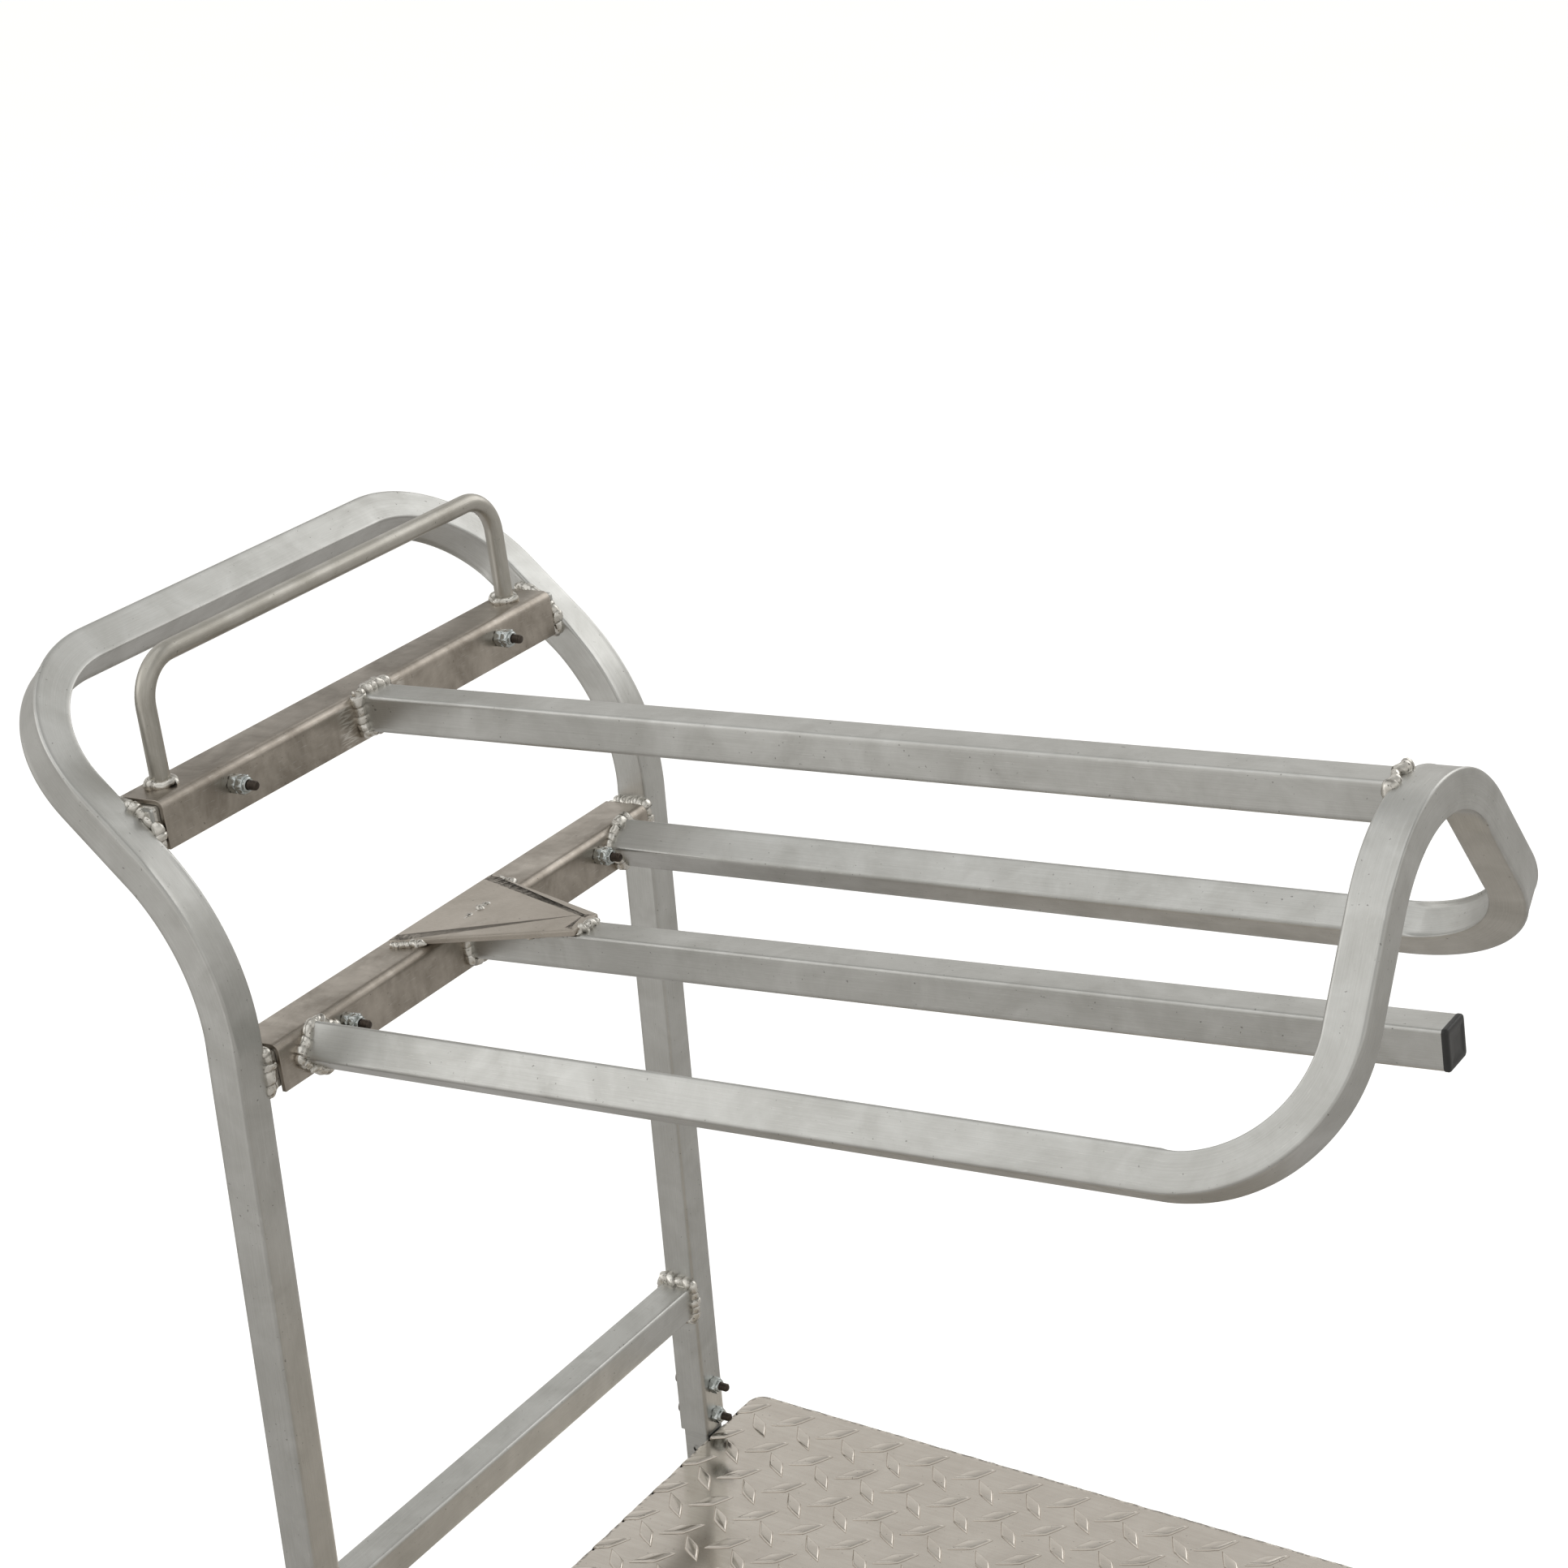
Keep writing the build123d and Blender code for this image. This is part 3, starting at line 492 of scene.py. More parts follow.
# %% Aluminium
def aluminium(name, light, dark, rough=(0.30, 0.44), along_uv=True, grain=(9, 1400, 1400),
              cloud=0.5, scuff=0.35, bump=0.12, edge="#4A4541"):
    """Bare aluminium. Base colour runs from dark to light with cloudy noise and stretched
    grain. Then six layers lie on it in turn, each a pattern that starts at one value and is full
    at the next: scratches, specks, brown and bleach from heat, strokes where it is rubbed, and
    dirt on cut edges. Bleached metal carries a dull white oxide, so it is less metallic."""
    material, tree, output = new_material(name)
    coords = add_node(tree, "ShaderNodeTexCoord")
    where = (add_node(tree, "ShaderNodeUVMap", uv_map="along").outputs[0] if along_uv
             else coords.outputs["Object"])
    stretched = add_node(tree, "ShaderNodeMapping", {"Vector": where, "Scale": grain})
    lines = add_node(tree, "ShaderNodeTexNoise", {"Vector": stretched.outputs[0], "Scale": 1.0,
                                                  "Detail": 3.0, "Roughness": 0.6})
    clouds = add_node(tree, "ShaderNodeTexNoise",
                      {"Vector": coords.outputs["Object"], "Scale": 26.0,
                       "Detail": 5.0, "Roughness": 0.62,
                       "Distortion": 0.6})
    cloud_share = add_node(tree, "ShaderNodeMapRange",
                           {"Value": clouds.outputs[0], "From Min": 0.32,
                            "From Max": 0.68, "To Max": cloud})
    line_share = add_node(tree, "ShaderNodeMapRange", {"Value": lines.outputs[0], "From Min": 0.3,
                                                       "From Max": 0.7, "To Max": 0.26})
    shade = add_node(tree, "ShaderNodeMath", {0: cloud_share.outputs[0], 1: line_share.outputs[0]},
                     operation="ADD", use_clamp=True)
    base = add_node(tree, "ShaderNodeMix", {0: shade.outputs[0], 6: linear(light), 7: linear(dark)},
                    data_type="RGBA")
    slanted = add_node(tree, "ShaderNodeMapping", {"Vector": where, "Scale": (95, 1900, 1900),
                                                   "Rotation": (0.0, 0.0, 0.5)}).outputs[0]
    across = add_node(tree, "ShaderNodeMapping", {"Vector": where,
                                                  "Scale": (90, 620, 620)}).outputs[0]
    scratches, specks, strokes, flecks = (
        add_node(tree, "ShaderNodeTexNoise",
                 {"Vector": vector, "Scale": scale, "Detail": detail}).outputs[0]
        for vector, scale, detail in ((slanted, 1.0, 1.0), (coords.outputs["Object"], 420.0, 1.0),
                                      (across, 1.0, 1.0), (coords.outputs["Object"], 260.0, 3.0)))
    heat, rubbed, worn = (
        add_node(tree, "ShaderNodeAttribute", attribute_name=key).outputs["Fac"]
        for key in ("heat", "rub", "edge"))
    broken = add_node(tree, "ShaderNodeMath", {0: clouds.outputs[0], 1: 0.35, 2: heat},
                      operation="MULTIPLY_ADD").outputs[0]
    colour, shares = base.outputs[2], []
    for pattern, begins, full, strength, mask, tint in (
            (scratches, 0.66, 0.72, scuff, None, "#DAD9D5"),
            (specks, 0.74, 0.79, 0.55, None, "#57534E"),
            (broken, 0.42, 0.74, 0.5, None, "#8A7F70"),
            (broken, 0.74, 0.84, 0.85, None, "#CFCCC4"),
            (strokes, 0.47, 0.56, 0.75, rubbed, "#DDD9D2"),
            (flecks, 0.44, 0.56, 1.0, worn, edge)):
        share = add_node(tree, "ShaderNodeMapRange", {"Value": pattern, "From Min": begins,
                                                      "From Max": full,
                                                      "To Max": strength}).outputs[0]
        if mask is not None:
            share = add_node(tree, "ShaderNodeMath", {0: share, 1: mask},
                             operation="MULTIPLY").outputs[0]
        shares.append(share)
        colour = add_node(tree, "ShaderNodeMix", {0: share, 6: colour, 7: linear(tint)},
                          data_type="RGBA").outputs[2]
    bleach = shares[3]
    rough_shade = add_node(tree, "ShaderNodeMapRange",
                           {"Value": shade.outputs[0], "To Min": rough[0],
                            "To Max": rough[1]})
    rough_heat = add_node(tree, "ShaderNodeMath", {0: bleach, 1: 0.25,
                                                   2: rough_shade.outputs[0]},
                          operation="MULTIPLY_ADD")
    relief = add_node(tree, "ShaderNodeBump", {"Height": lines.outputs[0], "Strength": bump,
                                               "Distance": 0.0002})
    oxide = add_node(tree, "ShaderNodeMath", {0: bleach, 1: -0.6, 2: 1.0}, operation="MULTIPLY_ADD")
    metal = add_node(tree, "ShaderNodeBsdfPrincipled", {
        "Base Color": colour, "Metallic": oxide.outputs[0], "Roughness": rough_heat.outputs[0],
        "Normal": relief.outputs[0]})
    tree.links.new(metal.outputs[0], output.inputs["Surface"])
    return material


mill_tube = aluminium("mill_finish_aluminium_tube", "#CBCBC8", "#A9A8A3")
mill_tube_straight = aluminium("mill_finish_aluminium_hidden_tube", "#C4C4C1", "#A6A5A0",
                               along_uv=False, grain=(9, 900, 900))
bent_plate = aluminium("bent_aluminium_plate", "#BEB6AC", "#958D83", rough=(0.26, 0.38), cloud=0.9,
                       grain=(160, 60, 60), scuff=0.35, bump=0.04)
flat_plate = aluminium("sheared_aluminium_plate", "#CAC2B8", "#AFA79C", rough=(0.34, 0.46),
                       cloud=0.5,
                       along_uv=False, grain=(200, 1300, 1300))
drawn_rod = aluminium("drawn_aluminium_rod", "#C3C0B9", "#9D998F", rough=(0.30, 0.42), cloud=0.6)
print("aluminium finishes:", [item.name for item in (mill_tube, bent_plate, flat_plate, drawn_rod)])

# %% [markdown]
# Bent square tube
#
# A tube is a rounded square carried along a line of straight runs and arcs. The section's two
# directions turn only as much as the line does. A thin wall can't shorten on the inside of a
# bend, so a press pushes it in: there the inner wall is a shallow trough, and the outer wall
# is a little flattened. The wall has a real thickness and open ends.


# %% Path and section
def bent_path(corners, radii, side, step=4 * mm):
    """Rows along straight runs joined by arcs: points, forward, side and inward directions, and
    press, which rises from 0 to 1 and falls again over each arc. An arc starts radius times the
    tangent of half its turn before the corner, and turns side and forward about its axis."""
    rows = {"points": [], "forward": [], "side": [], "inward": [], "press": []}
    start, side = corners[0], np.asarray(side, float)
    ahead = unit(corners[1] - corners[0])

    def run(begin, end, direction, closing):
        count = max(2, int(np.linalg.norm(end - begin) / step))
        share = np.linspace(0, 1, count, endpoint=closing)[:, None]
        rows["points"].append(begin + (end - begin) * share)
        rows["forward"].append(np.repeat(direction[None], count, axis=0))
        rows["side"].append(np.repeat(side[None], count, axis=0))
        rows["inward"].append(np.zeros((count, 3)))
        rows["press"].append(np.zeros(count))

    for before, corner, after, radius in zip(corners, corners[1:], corners[2:], radii):
        ahead, onward = unit(corner - before), unit(after - corner)
        turn = acos(ahead @ onward)
        reach = radius * tan(turn / 2)
        entry = corner - ahead * reach
        run(start, entry, ahead, False)
        axis = unit(np.cross(ahead, onward))
        inward = np.cross(axis, ahead)
        count = max(12, int(radius * turn / step))
        angle = np.linspace(0, turn, count, endpoint=False)
        rows["points"].append(entry + radius * inward - radius * turned(inward, axis, angle))
        rows["forward"].append(turned(ahead, axis, angle))
        rows["side"].append(turned(side, axis, angle))
        rows["inward"].append(turned(inward, axis, angle))
        rows["press"].append(np.clip(3.2 * np.sin(pi * angle / turn), 0, 1))
        side = turned(side, axis, turn)[0]
        start = corner + onward * reach
    run(start, corners[-1], unit(corners[-1] - start), True)
    return {key: np.concatenate(value) for key, value in rows.items()}


def rounded_square(half, corner, flats=12, arcs=5):
    """Points round a square with rounded corners. Each side is evenly spaced points between the
    corner centres, and each corner a quarter circle."""
    reach = half - corner
    outline = []
    for quarter in range(4):
        a, b = cos(quarter * pi / 2), sin(quarter * pi / 2)
        slide = np.linspace(-reach, reach, flats, endpoint=False)
        outline.append(np.column_stack([a * half - b * slide, b * half + a * slide]))
        angle = np.linspace(0, pi / 2, arcs, endpoint=False) + quarter * pi / 2
        middle = np.array([a * reach - b * reach, b * reach + a * reach])
        outline.append(middle + corner * np.column_stack([np.cos(angle), np.sin(angle)]))
    return np.concatenate(outline)


def swept_skin(path, section, half, trough=0.0, flatten=0.0):
    """The section at every row: point + a times side + b times (forward x side). Where the row
    is in a bend, the part of the section at the inner wall moves out by trough times press
    times 1.4 (1 - (across / half)^4), held at 1 or less, which leaves a crease near each edge.
    The outer wall moves in by flatten in the same way."""
    other = np.cross(path["forward"], path["side"])
    offset = (section[None, :, 0, None] * path["side"][:, None]
              + section[None, :, 1, None] * other[:, None])
    inward = path["inward"][:, None]
    depth = (offset * inward).sum(axis=2)
    across = np.linalg.norm(offset - depth[..., None] * inward, axis=2)
    hump = np.clip(1.4 * (1 - (across / half) ** 4), 0, 1) * path["press"][:, None]
    inner = np.clip(depth / half, 0, 1) ** 6
    outer = np.clip(-depth / half, 0, 1) ** 6
    moved = (flatten * outer - trough * inner) * hump
    return path["points"][:, None] + offset + moved[..., None] * inward


def square_tube(name, path, trough=0.0, flatten=0.0, material=None, nodes=()):
    """A hollow square tube: its outer skin from end to end, then its inner skin back again."""
    half = tube / 2
    skins = [swept_skin(path, rounded_square(half, tube_corner), half, trough, flatten),
             swept_skin(path, rounded_square(half - tube_wall, tube_corner - tube_wall), half,
                        trough,
                        flatten)[::-1]]
    points = np.concatenate(skins)
    piece = grid_piece(name, points, loop_rows=True, values={"heat": heat_at(points)})
    return place(piece, material or mill_tube, slot="tube_aluminium", nodes=nodes)


# %% [markdown]
# The handle frame
#
# The press marks of the handle's two upper bends run into each other, so its top bar has the
# same trough along its whole inner side.

# %% The handle frame
slope_length = 210.0 * mm
knee_bend_radius, top_bend_radius = 151.0 * mm, 84.5 * mm
frame_foot = 0.5 * mm - rack_height_over_deck
left_run = [foot + sideways * post_y + upright_up * frame_foot / cos(lean),
            knee + sideways * post_y, knee + sideways * post_y + slope_along * slope_length]
mirrored = np.array([1.0, -1.0, 1.0])
frame_corners = left_run + [point * mirrored for point in reversed(left_run)]
frame_radii = [knee_bend_radius, top_bend_radius, top_bend_radius, knee_bend_radius]
frame_path = bent_path(frame_corners, frame_radii, sideways)
bar = np.flatnonzero(np.abs(frame_path["forward"] @ sideways) > 0.999)
straight_bar = bar[np.linalg.norm(frame_path["inward"][bar], axis=1) < 0.5]
frame_path["inward"][straight_bar] = -slope_along
overlap_rows = 6
frame_path["press"][straight_bar[0] - overlap_rows:straight_bar[-1] + overlap_rows + 1] = 1.0
square_tube("handle_tube", frame_path, trough=2.2 * mm, flatten=0.8 * mm, nodes=["handle_frame"])

# %% The rack's loop
sharp_apex = rail_half_spacing / tan(leg_tilt) - rail_drop
loop_corners = [rack_point(weld_gap, -rail_half_spacing, -rail_drop),
                rack_point(rack_reach, -rail_half_spacing, -rail_drop),
                rack_point(rack_reach, 0.0, sharp_apex),
                rack_point(rack_reach, rail_half_spacing, -rail_drop),
                rack_point(weld_gap, rail_half_spacing, -rail_drop)]
leg_up = rack_up * cos(leg_tilt) + sideways * sin(leg_tilt)
loop_path = bent_path(loop_corners, [leg_bend_radius, apex_bend_radius, leg_bend_radius], leg_up)
square_tube("rack_loop_tube", loop_path, trough=3.0 * mm, flatten=1.0 * mm, nodes=["rack_loop"])

# %% The straight tubes
straight = {
    "top_rail": (rack_point(upper_r + weld_gap, 0.0, upper_q - tube / 2), rack_along,
                 rack_reach - tube / 2 - upper_r - 2 * weld_gap, sideways),
    "centre_rail": (centre_start, centre_along, centre_rail_length, sideways)}
cross_length = inner_width - 2 * weld_gap
for name, middle, across in (("upper", upper_centre, rack_along),
                             ("lower", lower_centre, rack_along),
                             ("bottom", bottom_centre, upright_front)):
    straight[f"{name}_cross_tube"] = (middle - sideways * cross_length / 2, sideways, cross_length,
                                      across)
for name, (start, forward, length, side) in straight.items():
    square_tube(f"{name}_skin", bent_path([start, start + forward * length], [], side),
                nodes=[name])

# %% [markdown]
# Bent-plate brackets
#
# Each bracket is a 3 mm plate folded to an angle over a cross tube. Its profile is a closed
# outline with an outer and an inner fold radius, carried straight across the cart. The sheared
# ends get a fine bevel, as a deburred edge has.


# %% Brackets
def arc(centre, radius, start, end, count=7):
    """Points on an arc between two angles in degrees."""
    angle = np.radians(np.linspace(start, end, count))
    return np.column_stack([centre[0] + radius * np.cos(angle), centre[1] + radius * np.sin(angle)])


def bracket_outline():
    """The angle's closed profile: along the rack, then up, from the folded edge."""
    inner = bracket_bend - bracket_plate
    centre = np.array([-bracket_bend, -bracket_bend])
    return np.concatenate([
        [(-bracket_depth, 0.0)],
        np.column_stack([np.linspace(-bracket_depth, -bracket_bend, 8)[1:-1], np.zeros(6)]),
        arc(centre, bracket_bend, 90, 0),
        np.column_stack([np.zeros(6), np.linspace(-bracket_bend, -bracket_drop, 8)[1:-1]]),
        [(0.0, -bracket_drop), (-bracket_plate, -bracket_drop)],
        arc(centre, inner, 0, 90), [(-bracket_depth, -bracket_plate)]])


def add_bevel(piece, width):
    """Round a piece's sharp edges by a fixed width."""
    bevel = piece.modifiers.new("deburred_edge", "BEVEL")
    bevel.width, bevel.segments, bevel.limit_method = width, 2, "ANGLE"
    bevel.angle_limit = radians(50)
    bevel.harden_normals = False


rub_middle = 27 * mm
rubbed = ("upper_bracket",)


def bracket_skin(name, r, q):
    """The profile at every step across the cart. On the upper bracket's front, clamps rubbed two
    patches beside the top rail: 1 within a few mm of each patch's middle, falling to 0."""
    across = np.linspace(-bracket_length / 2, bracket_length / 2, 140)
    outline = bracket_outline()
    points = (rack_point(r, 0.0, q) + outline[None, :, :1] * rack_along
              + outline[None, :, 1:] * rack_up + across[:, None, None] * sideways)
    from_middle = np.abs(np.abs(across) - rub_middle)
    nearness = np.clip(1.6 - from_middle / (6 * mm), 0, 1)[:, None]
    rub = nearness * (outline[None, :, 1] < -4 * mm) * (name in rubbed)
    piece = grid_piece(f"{name}_skin", points, caps=(0, -1),
                       values={"heat": heat_at(points), "rub": rub})
    add_bevel(piece, 0.3 * mm)
    return place(piece, bent_plate, slot="bracket_aluminium", nodes=[name])


bracket_skin("upper_bracket", upper_r, upper_q)
bracket_skin("lower_bracket", 0.0, 0.0)

# %% [markdown]
# Flat plates
#
# The gusset and the deck are plates cut from sheet. A plate is a stack of rings: the same outline
# at several insets and heights, closed by one face above and one below. Rings a little way in
# carry the values that colour the edge.


# %% Plate function and the gusset
def rounded_outline(corners, radius, step):
    """A closed outline through corner points with each corner an arc, at even steps."""
    corners = np.asarray(corners, float)
    parts = []
    for before, corner, after in zip(np.roll(corners, 1, 0), corners, np.roll(corners, -1, 0)):
        into, onward = unit(corner - before), unit(after - corner)
        turn = atan2(into[0] * onward[1] - into[1] * onward[0], into @ onward)
        reach = radius * tan(abs(turn) / 2)
        middle = corner - into * reach + np.sign(turn) * radius * np.array([-into[1], into[0]])
        first = corner - into * reach - middle
        angle = np.linspace(0, turn, 8)
        parts.append(middle + np.column_stack([first[0] * np.cos(angle) - first[1] * np.sin(angle),
                                               first[0] * np.sin(angle)
                                               + first[1] * np.cos(angle)]))
    closed = np.concatenate(parts + [parts[0][:1]])
    distance = steps(closed)
    even = np.arange(0, distance[-1], step)
    return np.column_stack([np.interp(even, distance, closed[:, k]) for k in range(2)])


def outward_of(outline):
    """Unit normals of a closed outline that runs anticlockwise: its direction turned right."""
    direction = unit(np.roll(outline, -1, 0) - np.roll(outline, 1, 0))
    return np.column_stack([direction[:, 1], -direction[:, 0]])


def plate_rings(outline, insets, heights):
    """The outline moved inward by each inset, at each height: one row per ring."""
    normals = outward_of(outline)
    flat = outline[None] - np.asarray(insets)[:, :, None] * normals[None]
    tall = np.broadcast_to(np.asarray(heights)[:, None, None], (*flat.shape[:2], 1))
    return np.concatenate([flat, tall], axis=2)


gusset_outline = rounded_outline([
    (gusset_back, -gusset_half_back), (gusset_front, -gusset_half_front),
    (gusset_front, gusset_half_front), (gusset_back, gusset_half_back)], 2 * mm, 1.5 * mm)
ring_insets = np.array([9, 0.5, 0.1, 0.0, 0.0, 0.15, 0.6, 4, 9]) * mm
ring_heights = np.array([0, 0, 0.05, 0.12, 0.88, 0.96, 1, 1, 1]) * gusset_thickness
rings = plate_rings(gusset_outline, np.repeat(ring_insets[:, None], len(gusset_outline), axis=1),
                    ring_heights)
gusset_points = (gusset_origin + rings[..., :1] * centre_along + rings[..., 1:2] * sideways
                 + rings[..., 2:] * centre_up)
gusset = grid_piece("gusset_skin", gusset_points, caps=(0, -1),
                    values={"heat": heat_at(gusset_points)})
place(gusset, flat_plate, slot="bracket_aluminium", nodes=["gusset_plate"])

# %% [markdown]
# The deck
#
# Tread plate is rolled with raised, pointed, flat-topped lugs, set in turn at plus and minus
# 45 degrees on a 39.5 mm lattice. A lug is a stack of four shrinking rings, and all lugs are one
# array. The plate's edge is rough from cutting: it wanders by about a millimetre and is dirty.

# %% Tread plate
rng = np.random.default_rng(11)
lug_spacing = 39.5 * mm
lug_half_length, lug_half_width, lug_height = 18.0 * mm, 5.4 * mm, 1.5 * mm
deck_corner = 12 * mm
plate_thickness = deck_high[2] - deck_low[2]


def wander(distance, total, size, waves, generator):
    """A smooth closed wobble: a sum of sines of whole numbers of waves, with random phases."""
    numbers = generator.integers(waves // 3, waves, 9)
    phases = generator.uniform(0, 2 * pi, 9)
    return size / 3 * np.sin(2 * pi * distance[:, None] / total * numbers + phases).sum(axis=1)


deck_outline = rounded_outline([(deck_low[0], deck_low[1]), (deck_high[0], deck_low[1]),
                                (deck_high[0], deck_high[1]), (deck_low[0], deck_high[1])],
                               deck_corner, 2.5 * mm)
edge_distance = steps(deck_outline)
edge_length = edge_distance[-1] + 2.5 * mm
wobble = np.abs(wander(edge_distance, edge_length, 0.55 * mm, 90, rng))
raggedness = rng.uniform(0, 0.35 * mm, (9, len(deck_outline)))
deck_insets = np.array([10, 0.7, 0.2, 0, 0, 0.2, 1.0, 3.4, 10])[:, None] * mm + wobble
deck_insets[1:7] += raggedness[1:7]
deck_heights = deck_low[2] + np.array([0, 0, 0.1, 0.25, 0.75, 0.93, 1, 1, 1]) * plate_thickness
deck_points = plate_rings(deck_outline, deck_insets, deck_heights)
edge_wear = np.repeat(np.array([0, 0.4, 0.7, 0.8, 0.8, 0.8, 0.7, 0, 0])[:, None],
                      len(deck_outline), axis=1)
deck_sheet = grid_piece("deck_sheet", deck_points, caps=(0, -1),
                        values={"edge": edge_wear, "heat": edge_wear * 0})

count_x, count_y = (int(size / lug_spacing) + 2 for size in (deck_high - deck_low)[:2])
lattice_x, lattice_y = np.meshgrid(np.arange(-count_x, count_x), np.arange(-count_y, count_y),
                                   indexing="ij")
lattice = np.column_stack([lattice_x.ravel(), lattice_y.ravel()]) * lug_spacing
lug_start = np.array([-251.0 * mm, 5.5 * mm])
cross_start = lug_start + np.array([20.5, 16.5]) * mm
centres = np.concatenate([lattice + lug_start, lattice + cross_start])
angles = np.repeat([-pi / 4, pi / 4], len(lattice))
inside = ((centres > deck_low[:2] + 3 * mm) & (centres < deck_high[:2] - 3 * mm)).all(axis=1)
centres, angles = centres[inside], angles[inside]
ring_scale = np.array([1.0, 0.94, 0.8, 0.66])
ring_rise = np.array([-0.25, 0.4, 0.9, 1.0]) * lug_height
around = np.linspace(0, 2 * pi, 16, endpoint=False)
lens = np.column_stack([lug_half_length * np.cos(around),
                        lug_half_width * np.sign(np.sin(around))
                        * (1 - np.abs(np.cos(around)) ** 1.2)])
shapes = ring_scale[:, None, None] * lens[None]
turn_c, turn_s = np.cos(angles)[:, None, None], np.sin(angles)[:, None, None]
lug_x = centres[:, 0, None, None] + turn_c * shapes[None, ..., 0] - turn_s * shapes[None, ..., 1]
lug_y = centres[:, 1, None, None] + turn_s * shapes[None, ..., 0] + turn_c * shapes[None, ..., 1]
lug_z = np.broadcast_to(deck_high[2] + ring_rise[None, :, None], lug_x.shape)
edge_keep = 1.8 * mm
lug_points = np.stack([np.clip(lug_x, deck_low[0] + edge_keep, deck_high[0] - edge_keep),
                       np.clip(lug_y, deck_low[1] + edge_keep, deck_high[1] - edge_keep), lug_z],
                      axis=-1)
lug_count, ring_count, ring_size = lug_points.shape[:3]
index = np.arange(lug_count * ring_count * ring_size).reshape(lug_count, ring_count, ring_size)
beside = np.roll(index, -1, axis=2)
walls = np.stack([index[:, :-1], beside[:, :-1], beside[:, 1:], index[:, 1:]],
                 axis=-1).reshape(-1, 4)
lug_mesh = bpy.data.meshes.new("deck_lugs")
lug_mesh.from_pydata(lug_points.reshape(-1, 3).tolist(), [],
                     walls.tolist() + index[:, -1].tolist() + index[:, 0, ::-1].tolist())
lug_mesh.shade_smooth()
lug_mesh.set_sharp_from_angle(angle=radians(60))
lug_mesh.attributes.new("lug", "FLOAT", "POINT").data.foreach_set(
    "value", np.broadcast_to(np.array([0, 0.5, 1, 1.0])[None, :, None],
                             lug_x.shape).astype(np.float32).ravel())
lugs = bpy.data.objects.new("deck_lugs", lug_mesh)
scene.collection.objects.link(lugs)
deck = joined("deck_tread_plate", [deck_sheet, lugs])
tread_plate = aluminium("aluminium_tread_plate", "#D9D2C9", "#C0B8AE", rough=(0.12, 0.22),
                        cloud=0.45,
                        along_uv=False, grain=(14, 320, 320), scuff=0.3, bump=0.05, edge="#3E3A36")
place(deck, tread_plate, slot="tread_plate", nodes=["deck_plate"])
print("lugs:", lug_count)

# %% [markdown]
# Weld beads
#
# A weld laid by hand is a row of overlapping puddles, each like a coin lying on the last one. A
# bead is a round section carried along its seam. Its radius swells and shrinks once per puddle,
# and the swelling lags at the bead's edges, which makes the ripples crescents.


# %% Beads
def smoothed(points, window, loop):
    """A moving average along a line of points, which rounds its corners."""
    kernel = np.ones(window) / window
    padding = window // 2
    mode = "wrap" if loop else "edge"
    wide = np.pad(points, ((padding, padding), (0, 0)), mode=mode)
    return np.column_stack([np.convolve(wide[:, k], kernel, mode="valid") for k in range(3)])


def bead(line, radius, puddle, generator):
    """A closed bead along a line. Puddle number n is the distance over the puddle length, pushed
    about by a slow wobble, minus a lag round the section. The radius is the mean radius times
    (0.8 + 0.2 sqrt(1 - (2 f - 1)^2)), with f the fraction of n, times a random size of its own,
    times 1 plus a small sine that winds round the bead."""
    loop = np.linalg.norm(line[0] - line[-1]) < 1e-6
    points = resampled(line, 0.55 * mm)
    points = smoothed(points, 7, loop)
    distance = steps(points)
    forward = unit(np.gradient(points, axis=0))
    outward = unit(points - points.mean(axis=0) + 1e-9)
    outward = outward if loop else np.broadcast_to(rack_up, points.shape)
    second = unit(np.cross(forward, outward))
    first = np.cross(second, forward)
    angle = np.linspace(0, 2 * pi, 14, endpoint=False)
    number = distance / puddle + 0.35 * np.interp(distance, np.linspace(0, distance[-1], 12),
                                                  generator.uniform(-1, 1, 12))
    number = number[:, None] - 0.42 * (1 - np.cos(angle))[None] / 2
    number -= number.min()
    share = number % 1
    own_size = generator.uniform(0.72, 1.18, int(number.max()) + 2)[number.astype(int)]
    swell = (0.8 + 0.2 * np.sqrt(np.clip(1 - (2 * share - 1) ** 2, 0, 1))) * own_size
    swell *= 1 + 0.08 * np.sin(distance[:, None] / (2.2 * mm) + 2 * angle)
    from_end = np.minimum(distance, distance[-1] - distance)
    taper = np.ones_like(distance) if loop else np.sqrt(np.clip(from_end / (1.6 * radius), 0.02, 1))
    reach = radius * swell * taper[:, None]
    shift = np.column_stack([np.interp(distance, np.linspace(0, distance[-1], 9),
                                       generator.normal(0, 0.7 * mm, 9))
                             for _ in range(3)])
    return ((points + shift * taper[:, None])[:, None] + reach[..., None]
            * (np.cos(angle)[None, :, None] * first[:, None]
               + np.sin(angle)[None, :, None] * second[:, None]),
            1 - np.abs(2 * share - 1))


